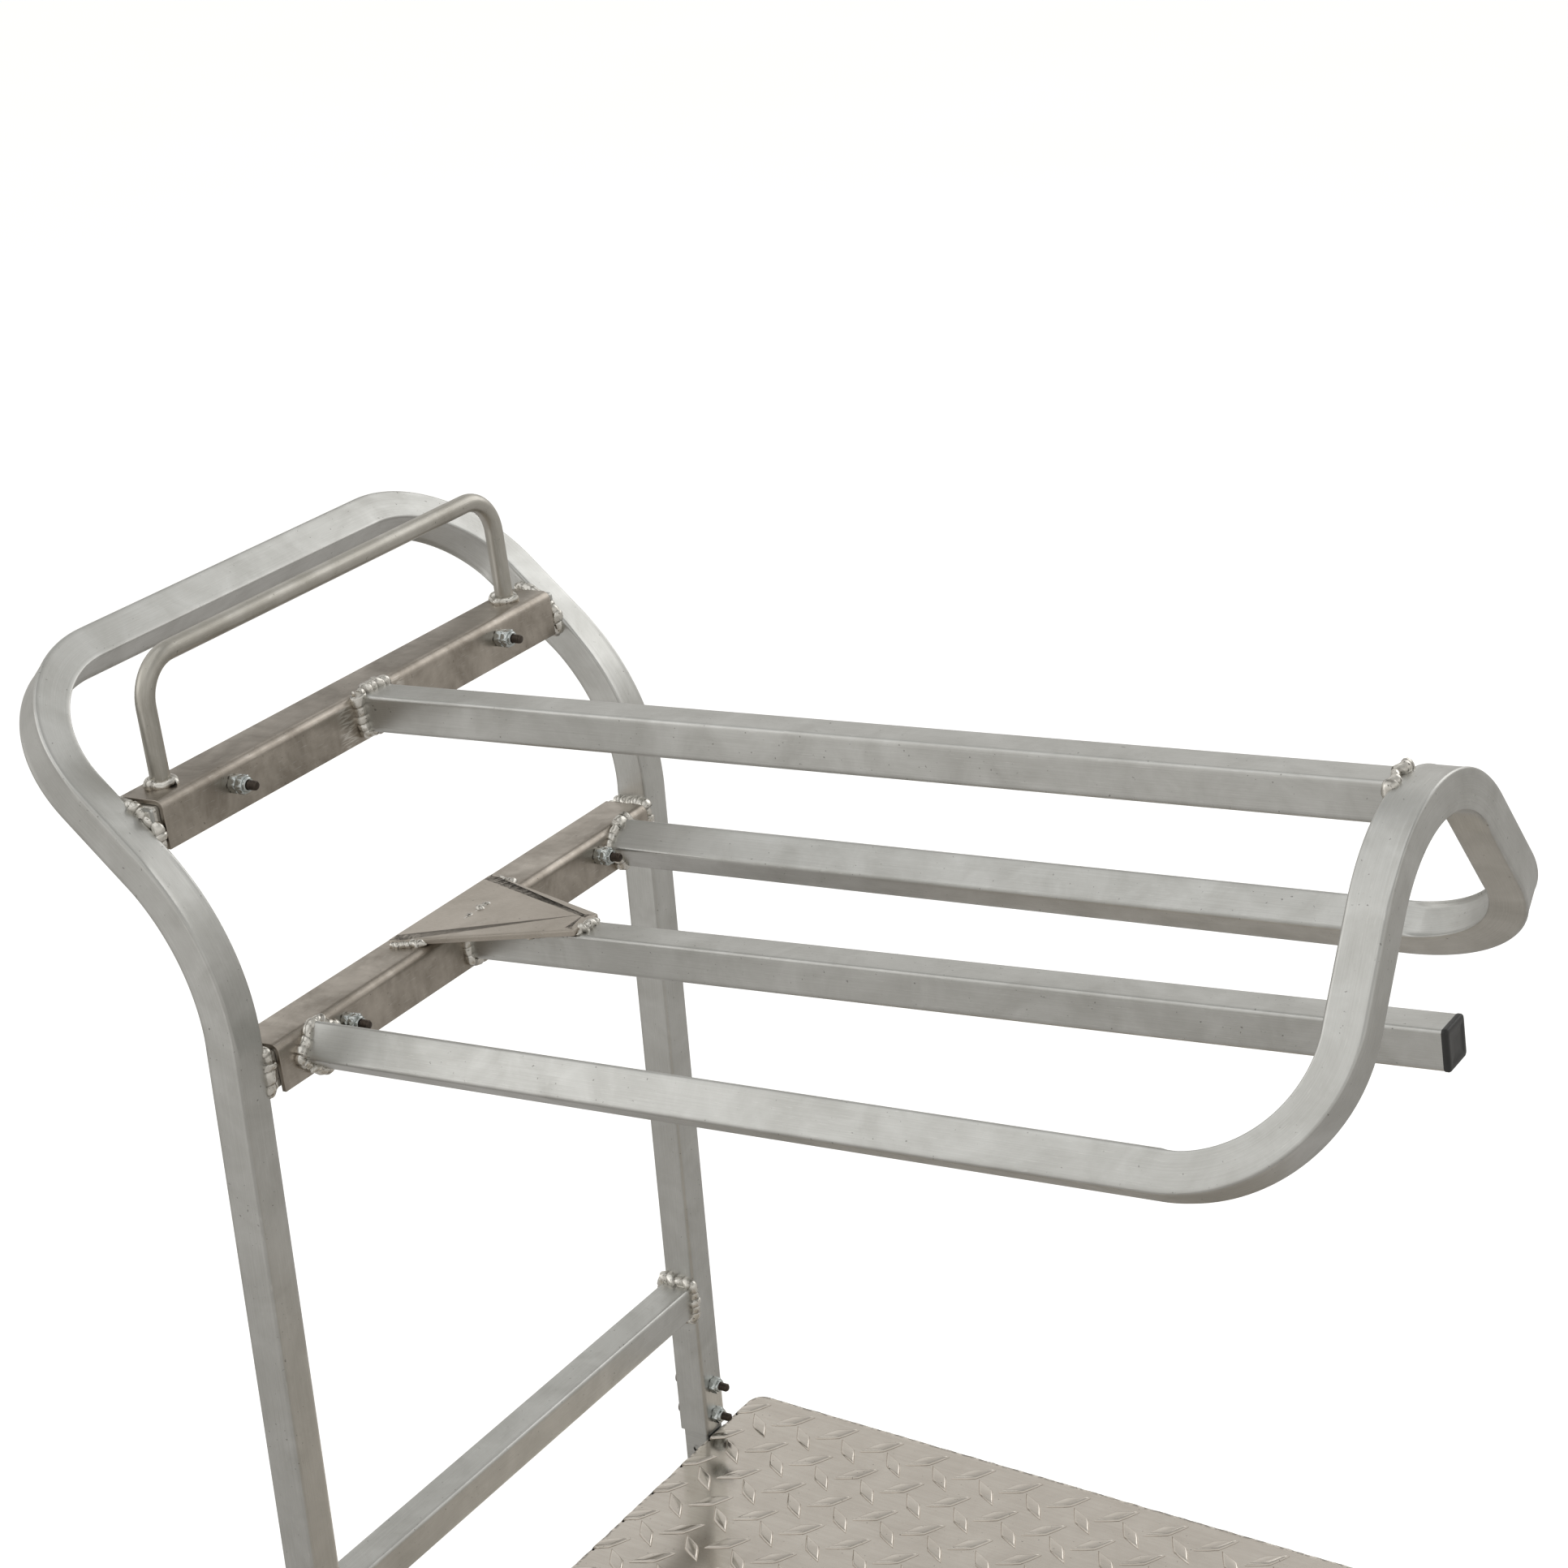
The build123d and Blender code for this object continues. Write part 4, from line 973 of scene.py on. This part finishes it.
def weld_metal():
    """Aluminium filler as it froze: bright silver with scattered dark pits, darker in the valleys
    between puddles, where the bead's radius dips.
    """
    material, tree, output = new_material("aluminium_weld_bead")
    coords = add_node(tree, "ShaderNodeTexCoord").outputs["Object"]
    cloud = add_node(tree, "ShaderNodeTexNoise", {"Vector": coords, "Scale": 190.0, "Detail": 4.0})
    pits = add_node(tree, "ShaderNodeTexNoise", {"Vector": coords, "Scale": 520.0, "Detail": 2.0})
    pitted = add_node(tree, "ShaderNodeMapRange", {"Value": pits.outputs[0], "From Min": 0.62,
                                                   "From Max": 0.72, "To Max": 0.85})
    ripple = add_node(tree, "ShaderNodeAttribute", attribute_name="ripple").outputs["Fac"]
    # Darker where the ripple value is low: in the valleys between puddles, where the bead's radius
    # dips.
    valley = add_node(tree, "ShaderNodeMapRange",
                      {"Value": ripple, "From Min": 0.22, "From Max": 0.0,
                       "To Max": 0.6})
    pits_and_valleys = add_node(tree, "ShaderNodeMath", {0: valley.outputs[0], 1: pitted.outputs[0]},
                     operation="MAXIMUM")
    silver = add_node(tree, "ShaderNodeMix", {0: cloud.outputs[0], 6: linear("#EDEBE5"),
                                              7: linear("#BAB5AC")},
                      data_type="RGBA")
    colour = add_node(tree, "ShaderNodeMix", {0: pits_and_valleys.outputs[0], 6: silver.outputs[2],
                                              7: linear("#4B453F")},
                      data_type="RGBA")
    relief = add_node(tree, "ShaderNodeBump",
                      {"Height": cloud.outputs[0], "Strength": 0.35, "Distance": 0.0008})
    rough = add_node(tree, "ShaderNodeMapRange",
                     {"Value": cloud.outputs[0], "To Min": 0.16, "To Max": 0.36})
    metal = add_node(tree, "ShaderNodeBsdfPrincipled", {
        "Base Color": colour.outputs[2], "Metallic": 1.0, "Roughness": rough.outputs[0],
        "Normal": relief.outputs[0]})
    tree.links.new(metal.outputs[0], output.inputs["Surface"])
    return material


filler = weld_metal()
for number, (name, line) in enumerate(seams.items()):
    own = np.random.default_rng(100 + number)
    radius, puddle = (3.4, 5.2) if "gusset" in name else (4.7, 5.8)
    if "grab_foot" in name or "top_rail_front" in name:
        radius, puddle = 3.9, 8.2
    points, ripple = bead(line, radius * mm, puddle * mm, own)
    made = grid_piece(name, points, caps=(0, -1), values={"ripple": ripple})
    place(made, filler, slot="tube_aluminium")

# %% [markdown]
# Filled tube ends
#
# Where an upright slopes away from a cross tube's end, the welder closed the open end with weld
# metal. The fill is a stack of shrinking rounded squares, and two crossed sines make it lumpy.

# %% Fill in the cross tubes' ends
fill_inset = np.array([0.6, -0.4, 0.0, 1.2, 3.2, 5.6, 8.2, 10.8]) * mm
fill_rise = np.array([-3.0, -1.5, 0.4, 1.5, 2.1, 2.4, 2.4, 2.4]) * mm
for name, (middle, first, second, *_) in ends.items():
    for hand, side in (("left", 1), ("right", -1)):
        outline = np.stack([rounded_square(tube / 2 - inset, max(tube_corner - inset / 3, 0.6 * mm))
                            for inset in fill_inset])
        lumps = (np.sin(outline[..., 0] / (0.9 * mm) + side)
                 * np.sin(outline[..., 1] / (1.1 * mm) + side))
        rise = fill_rise[:, None] + 0.45 * mm * lumps * (fill_rise[:, None] > 0)
        points = (middle + outline[..., :1] * first + outline[..., 1:] * second
                  + (inner_width / 2 - 2.6 * mm + rise[..., None]) * side * sideways)
        place(grid_piece(f"{name}_{hand}_end_fill", points, caps=(0, -1),
                         # The ripple value is low in the lumps' hollows, so the weld colour is
                         # darker there.
                         values={"ripple": 0.5 + 0.5 * lumps}),
              filler, slot="tube_aluminium")

# %% [markdown]
# The grab handle
#
# A half-inch solid rod, bent twice and welded by its feet to the upper bracket. Its section is a
# circle carried along the same kind of path as the tubes.

# %% Grab handle
rod_radius = 6.35 * mm
rod_height, rod_bend_radius = 78.0 * mm, 28.0 * mm
rod_half = bracket_length / 2 - rod_inset
rod_r, rod_base, rod_top = upper_r - rod_setback, upper_q + weld_gap, upper_q + rod_height
rod_corners = [rack_point(rod_r, -rod_half, rod_base), rack_point(rod_r, -rod_half, rod_top),
               rack_point(rod_r, rod_half, rod_top), rack_point(rod_r, rod_half, rod_base)]
rod_path = bent_path(rod_corners, [rod_bend_radius] * 2, rack_along, step=3 * mm)
circle_angle = np.linspace(0, 2 * pi, 32, endpoint=False)
circle = rod_radius * np.column_stack([np.cos(circle_angle), np.sin(circle_angle)])
rod_points = swept_skin(rod_path, circle, rod_radius)
rod = grid_piece("grab_handle_rod", rod_points, caps=(0, -1), values={"heat": heat_at(rod_points)})
place(rod, drawn_rod, slot="rod_aluminium", nodes=["grab_handle"])

# %% [markdown]
# Fasteners
#
# A quarter-inch bolt with a lock nut. A nut or head is a turned profile whose radius is limited
# at each angle by the hexagon's flat: the smaller of the two gives the curved chamfer of a real
# nut. The thread is a helix: its depth depends on height plus a share of the turn.

# %% Turned shapes
zinc_hex = 11.1 * mm


def turned_shape(name, profile, centre, axis, columns=72, hexagon=0.0, thread=(0.0, 1.0),
                 caps=(0, -1),
                 loop_rows=False, twist=0.0):
    """A profile of radius and height turned about an axis through a centre. With a hexagon, the
    radius is at most half its width over the cosine of the angle from the nearest flat's middle.
    A thread takes its depth times a triangle wave of height over pitch minus the turn."""
    profile = np.asarray(profile, float)
    axis = unit(np.asarray(axis, float))
    aside = sideways if abs(axis @ sideways) < 0.9 else (0.0, 0.0, 1.0)
    first = unit(np.cross(axis, aside))
    second = np.cross(axis, first)
    angle = np.linspace(0, 2 * pi, columns, endpoint=False)
    radius = np.repeat(profile[:, :1], columns, axis=1)
    if hexagon:
        from_flat = (angle + twist + pi / 6) % (pi / 3) - pi / 6
        radius = np.minimum(radius, hexagon / 2 / np.cos(from_flat)[None])
    depth, rise = thread
    wave = np.abs(((profile[:, 1:] / rise - angle[None] / (2 * pi)) % 1) * 2 - 1)
    radius = radius - depth * wave
    points = (np.asarray(centre) + profile[:, 1, None, None] * axis
              + radius[..., None] * (np.cos(angle)[None, :, None] * first
                                     + np.sin(angle)[None, :, None] * second))
    return grid_piece(name, points, caps=caps, loop_rows=loop_rows)


def zinc(name, light, dark, rough, cast):
    """Bright zinc plating on steel: a smooth grey metal with a faint coloured cast in patches."""
    material, tree, output = new_material(name)
    coords = add_node(tree, "ShaderNodeTexCoord").outputs["Object"]
    patches = add_node(tree, "ShaderNodeTexNoise",
                       {"Vector": coords, "Scale": 160.0, "Detail": 3.0})
    base = add_node(tree, "ShaderNodeMix", {0: patches.outputs[0], 6: linear(light),
                                            7: linear(dark)},
                    data_type="RGBA")
    tint = add_node(tree, "ShaderNodeTexNoise", {"Vector": coords, "Scale": 70.0, "Detail": 2.0})
    tinted = add_node(tree, "ShaderNodeMapRange",
                      {"Value": tint.outputs[0], "From Min": 0.5, "From Max": 0.7,
                       "To Max": 0.35})
    colour = add_node(tree, "ShaderNodeMix", {0: tinted.outputs[0], 6: base.outputs[2],
                                              7: linear(cast)},
                      data_type="RGBA")
    relief = add_node(tree, "ShaderNodeBump", {"Height": patches.outputs[0], "Strength": 0.1,
                                               "Distance": 0.0003})
    metal = add_node(tree, "ShaderNodeBsdfPrincipled", {
        "Base Color": colour.outputs[2], "Metallic": 1.0, "Roughness": rough,
        "Normal": relief.outputs[0]})
    tree.links.new(metal.outputs[0], output.inputs["Surface"])
    return material


bright_zinc = zinc("bright_zinc_plated_steel", "#C9CDCC", "#ABB0AF", 0.2, "#B3B8AE")
dull_zinc = zinc("dull_zinc_plated_steel", "#A9ACAB", "#84878A", 0.34, "#A39D86")
black_steel = zinc("black_oxide_steel", "#5A524B", "#332D29", 0.32, "#6A5644")

nut_height, collar_height, stud_overhang = 5.6 * mm, 1.9 * mm, 6.5 * mm
stud_radius = 3.175 * mm
chamfer = 0.55 * mm
hex_corner = zinc_hex / 2 / cos(pi / 6)
hex_face = [(zinc_hex / 2 - 0.3 * mm, 0.0), (hex_corner, chamfer),
            (hex_corner, nut_height - chamfer),
            (zinc_hex / 2 - 0.1 * mm, nut_height)]
nut_profile = [(stud_radius, 0.0), *hex_face, (4.85 * mm, nut_height),
               (4.75 * mm, nut_height + 0.5 * mm),
               (4.7 * mm, nut_height + 1.3 * mm), (4.2 * mm, nut_height + 1.8 * mm),
               (3.6 * mm, nut_height + collar_height),
               (stud_radius, nut_height + collar_height - 0.2 * mm)]
backing_profile = [(stud_radius, 0.0), *hex_face, (stud_radius, nut_height)]


def stud_profile(length):
    """A plain radius at even steps, falling over the last 0.9 mm to a chamfered tip."""
    height = np.linspace(0, length, 90)
    return np.column_stack([np.minimum(stud_radius, stud_radius - 0.9 * mm + length - height),
                            height])


head_height = 4.0 * mm
head_profile = [(zinc_hex / 2 - 0.2 * mm, 0.0), (hex_corner, 0.4 * mm),
                (hex_corner, head_height - 0.8 * mm),
                (zinc_hex / 2 - 0.2 * mm, head_height - 0.02 * mm),
                (zinc_hex / 2 - 0.6 * mm, head_height)]
washer_thickness = 1.2 * mm
washer_profile = [(3.3 * mm, 0.0), (7.7 * mm, 0.0), (7.95 * mm, 0.25 * mm), (7.95 * mm, 0.9 * mm),
                  (7.7 * mm, washer_thickness), (3.3 * mm, washer_thickness)]

# %% Bolts through the brackets and the posts
bolt_rail_gap, bolt_drop = 17.0 * mm, 12.7 * mm
post_bolt_heights = (12.5 * mm, 39.0 * mm)
bolt_y = rail_half_spacing - tube / 2 - bolt_rail_gap
bolt_axes = {"bracket": [(rack_point(r, side * bolt_y, q - bolt_drop), rack_along,
                          tube_behind_bracket + tube / 2)
                         for r, q in ((0.0, 0.0), (upper_r, upper_q))
                         for side in (1, -1)],
             "post": [(foot + sideways * side * post_y
                       + upright_up * (height - rack_height_over_deck)
                       + upright_front * tube / 2, upright_front, tube)
                      for side in (1, -1) for height in post_bolt_heights]}
washers = []
for group, places in bolt_axes.items():
    nuts, bolts = [], []
    for spot, axis, grip in places:
        seat = nut_height if group == "bracket" else 0.0
        if seat:
            nuts.append(turned_shape("backing_nut", backing_profile, spot, axis, hexagon=zinc_hex,
                                     caps=(),
                                     loop_rows=True, twist=0.06))
        nuts.append(turned_shape("nut", nut_profile, spot + axis * seat, axis, hexagon=zinc_hex,
                                 caps=(),
                                 loop_rows=True))
        bolts.append(turned_shape("stud", stud_profile(seat + nut_height + collar_height
                                                       + stud_overhang),
                                  spot, axis, columns=40, thread=(0.42 * mm, 1.27 * mm)))
        back_face = spot - axis * grip
        washers.append(turned_shape("washer", washer_profile, back_face, -axis, columns=48, caps=(),
                                    loop_rows=True))
        bolts.append(turned_shape("head", head_profile, back_face - axis * washer_thickness, -axis,
                                  hexagon=zinc_hex))
    place(joined(f"{group}_lock_nuts", nuts), bright_zinc, slot="zinc_fastener",
          nodes=[f"{group}_nuts"])
    place(joined(f"{group}_hex_bolts", bolts), black_steel, slot="zinc_fastener",
          nodes=[f"{group}_bolts"])
place(joined("flat_washers", washers), bright_zinc, slot="zinc_fastener", nodes=["washers"])

# %% [markdown]
# Plastic caps
#
# The rails' open ends are closed by moulded black polyethylene plugs with a rounded face. The
# face is a stack of rounded squares that shrink as they rise, and the grain is fine and dull.


# %% Caps
def plastic(name, light, dark, rough, grain_size, relief_depth):
    """Moulded plastic: one colour that varies a little, with an even spark-eroded grain."""
    material, tree, output = new_material(name)
    coords = add_node(tree, "ShaderNodeTexCoord").outputs["Object"]
    grain = add_node(tree, "ShaderNodeTexNoise",
                     {"Vector": coords, "Scale": 1 / grain_size, "Detail": 2.0})
    cloud = add_node(tree, "ShaderNodeTexNoise", {"Vector": coords, "Scale": 60.0, "Detail": 3.0})
    colour = add_node(tree, "ShaderNodeMix", {0: cloud.outputs[0], 6: linear(light),
                                              7: linear(dark)},
                      data_type="RGBA")
    gloss = add_node(tree, "ShaderNodeMapRange", {"Value": cloud.outputs[0], "To Min": rough - 0.08,
                                                  "To Max": rough + 0.08})
    relief = add_node(tree, "ShaderNodeBump", {"Height": grain.outputs[0], "Strength": 0.4,
                                               "Distance": relief_depth})
    body = add_node(tree, "ShaderNodeBsdfPrincipled", {
        "Base Color": colour.outputs[2], "Roughness": gloss.outputs[0], "IOR": 1.5,
        "Normal": relief.outputs[0]})
    tree.links.new(body.outputs[0], output.inputs["Surface"])
    return material


black_polyethylene = plastic("black_polyethylene_cap", "#2A2A29", "#161615", 0.42, 0.5 * mm,
                             0.05 * mm)
cap_half = tube / 2 + 0.3 * mm
cap_rise = np.array([0.0, 0.0, 0.8, 2.6, 3.5, 3.95, 4.0, 4.0, 3.7, 3.7]) * mm
cap_inset = np.array([1.2, 0.25, 0.0, 0.0, 0.45, 1.3, 2.2, 4.2, 4.7, 9.0]) * mm


def cap(name, start, forward, half):
    """Rounded squares, one per step of the face: each smaller by its inset, at its own rise."""
    side, other = sideways, np.cross(forward, sideways)
    outline = np.stack([rounded_square(half - inset, max(tube_corner - inset / 3, 0.8 * mm))
                        for inset in cap_inset])
    points = (start + cap_rise[:, None, None] * forward + outline[..., :1] * side
              + outline[..., 1:] * other)
    return grid_piece(name, points, caps=(0, -1))


centre_end = centre_start + centre_along * centre_rail_length
place(cap("centre_rail_plug", centre_end, centre_along, cap_half), black_polyethylene,
      slot="black_plastic", nodes=["centre_rail_cap"])
ahead = np.array([1.0, 0.0, 0.0])
rail_caps = []
side_caps_low, side_caps_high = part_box("side_rail_caps")
rail_middle_z = (side_caps_low.z + side_caps_high.z) / 2
for side in (1, -1):
    start = np.array([side_caps_high.x - 4.0 * mm, side * post_y, rail_middle_z])
    rail_caps.append(cap("rail_plug", start, ahead, tube / 2))
place(joined("side_rail_plugs", rail_caps), black_polyethylene, slot="black_plastic",
      nodes=["side_rail_caps"])

# %% [markdown]
# Wheels
#
# Five-inch wheels: a grey rubber tread moulded round a polypropylene hub. The tyre's section is
# one closed outline with a crowned tread, a round shoulder and a groove in each side. The hub is
# a boss, a dished web and a rim, with ribs that stand out of the web as a cosine of six turns.

# %% Tyres and hubs
wheel_radius, wheel_width, tread = 63.5 * mm, 32.0 * mm, 9.0 * mm
rim_radius = wheel_radius - tread
half_width = wheel_width / 2
grey_rubber = plastic("grey_moulded_rubber", "#4A4A4B", "#39393A", 0.62, 0.8 * mm, 0.12 * mm)
grey_polypropylene = plastic("grey_polypropylene_hub", "#8D9093", "#7E8184", 0.4, 0.6 * mm,
                             0.05 * mm)
red_nylon = plastic("red_nylon_pedal", "#B3352B", "#9A2A22", 0.36, 0.7 * mm, 0.05 * mm)


def mirrored_profile(side):
    """A half outline from the middle of the tread to the bore, then its mirror image back."""
    side = np.asarray(side, float)
    return np.concatenate([side, side[::-1] * (1, -1)])


tyre_side = [(wheel_radius, 0.0), (wheel_radius - 0.05 * mm, 6 * mm),
             (wheel_radius - 0.35 * mm, 10 * mm),
             (wheel_radius - 1.1 * mm, 12.8 * mm), (wheel_radius - 2.4 * mm, 14.8 * mm),
             (wheel_radius - 4.2 * mm, 15.8 * mm), (wheel_radius - 5.2 * mm, half_width),
             (wheel_radius - 5.8 * mm, half_width - 0.5 * mm),
             (wheel_radius - 6.6 * mm, half_width - 0.5 * mm),
             (wheel_radius - 7.2 * mm, half_width), (rim_radius + 0.4 * mm, half_width - 0.1 * mm),
             (rim_radius, half_width - 0.6 * mm)]


def tyre(name, centre, axis):
    """The tyre's closed outline turned about the axle."""
    return turned_shape(name, mirrored_profile(tyre_side), centre, axis, columns=128, caps=(),
                        loop_rows=True)


def hub(name, centre, axis):
    """A hub turned about the axle, whose web rises and falls six times round to make its ribs."""
    bore, boss, inner = 4.06 * mm, 12 * mm, rim_radius - 8 * mm
    side = np.array([(rim_radius - 0.02 * mm, 0), (rim_radius - 0.02 * mm, 13.2 * mm),
                     (rim_radius - 0.8 * mm, 14 * mm),
                     (inner + 1.2 * mm, 14 * mm), (inner + 0.4 * mm, 13.4 * mm),
                     (inner - 0.6 * mm, 5.2 * mm),
                     (inner - 2 * mm, 4 * mm), ((inner + boss) / 2, 4 * mm),
                     (boss + 2.5 * mm, 4 * mm),
                     (boss + 0.6 * mm, 5.4 * mm), (boss - 0.2 * mm, 17.2 * mm),
                     (boss - 1 * mm, 18 * mm),
                     (6.5 * mm, 18 * mm), (bore + 0.4 * mm, 18 * mm), (bore, 17.6 * mm)])
    piece = turned_shape(name, mirrored_profile(side), centre, axis, columns=144, caps=(),
                         loop_rows=True)
    mesh = piece.data
    flat = np.zeros(len(mesh.vertices) * 3)
    mesh.vertices.foreach_get("co", flat)
    points = flat.reshape(-1, 3)
    axis = unit(np.asarray(axis, float))
    offset = points - centre
    along = offset @ axis
    radial = offset - along[:, None] * axis
    radius = np.linalg.norm(radial, axis=1)
    angle = np.arctan2(radial @ np.cross(axis, ahead), radial @ ahead)
    rib = np.clip(np.cos(6 * angle) * 6 - 4.6, 0, 1)
    web = (np.clip((inner - 1 * mm - radius) / mm, 0, 1)
           * np.clip((radius - boss - 1 * mm) / mm, 0, 1))
    points += (np.sign(along) * 4.5 * mm * rib * web * (np.abs(along) > 1 * mm))[:, None] * axis
    mesh.vertices.foreach_set("co", points.ravel())
    mesh.update()
    mesh.set_sharp_from_angle(angle=radians(40))
    return piece


for end in ("rear", "front"):
    for hand in ("left", "right"):
        low, high = (np.array(corner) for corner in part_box(f"{end}_{hand}_tyre"))
        centre = (low + high) / 2
        body = f"{end}_{hand}_wheel"
        outward = sideways if hand == "left" else -sideways
        place(tyre(f"{end}_{hand}_tread", centre, outward), grey_rubber, body, "tread_rubber",
              [f"{end}_{hand}_tyre"])
        place(hub(f"{end}_{hand}_hub_moulding", centre, outward), grey_polypropylene, body,
              "hub_plastic",
              [f"{end}_{hand}_hub"])

# %% [markdown]
# Pressed steel and hidden frame
#
# The casters' forks and plates are zinc-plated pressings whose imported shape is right, and so are
# the deck's hidden tubes, the posts and the pads. They keep their shape and get a finish.

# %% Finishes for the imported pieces
zinc_sheet = zinc("zinc_plated_steel_pressing", "#B4B8B9", "#8E9294", 0.3, "#A9A38C")
finishes = {"fork": zinc_sheet, "plate": zinc_sheet, "kingpin": dull_zinc, "brake_pin": dull_zinc,
            "axle": dull_zinc, "axle_nut": bright_zinc, "bolts": dull_zinc, "nuts": bright_zinc,
            "brake_pedal": red_nylon, "post": mill_tube_straight, "side_rail": mill_tube_straight,
            "cross_member": mill_tube_straight, "pads": flat_plate}
for name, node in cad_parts.items():
    if node.hide_render:
        continue
    ending = max((key for key in finishes if name.endswith(key)), key=len, default=None)
    if ending is None:
        print("no finish for", name)
        continue
    node.data.materials.clear()
    node.data.materials.append(finishes[ending])
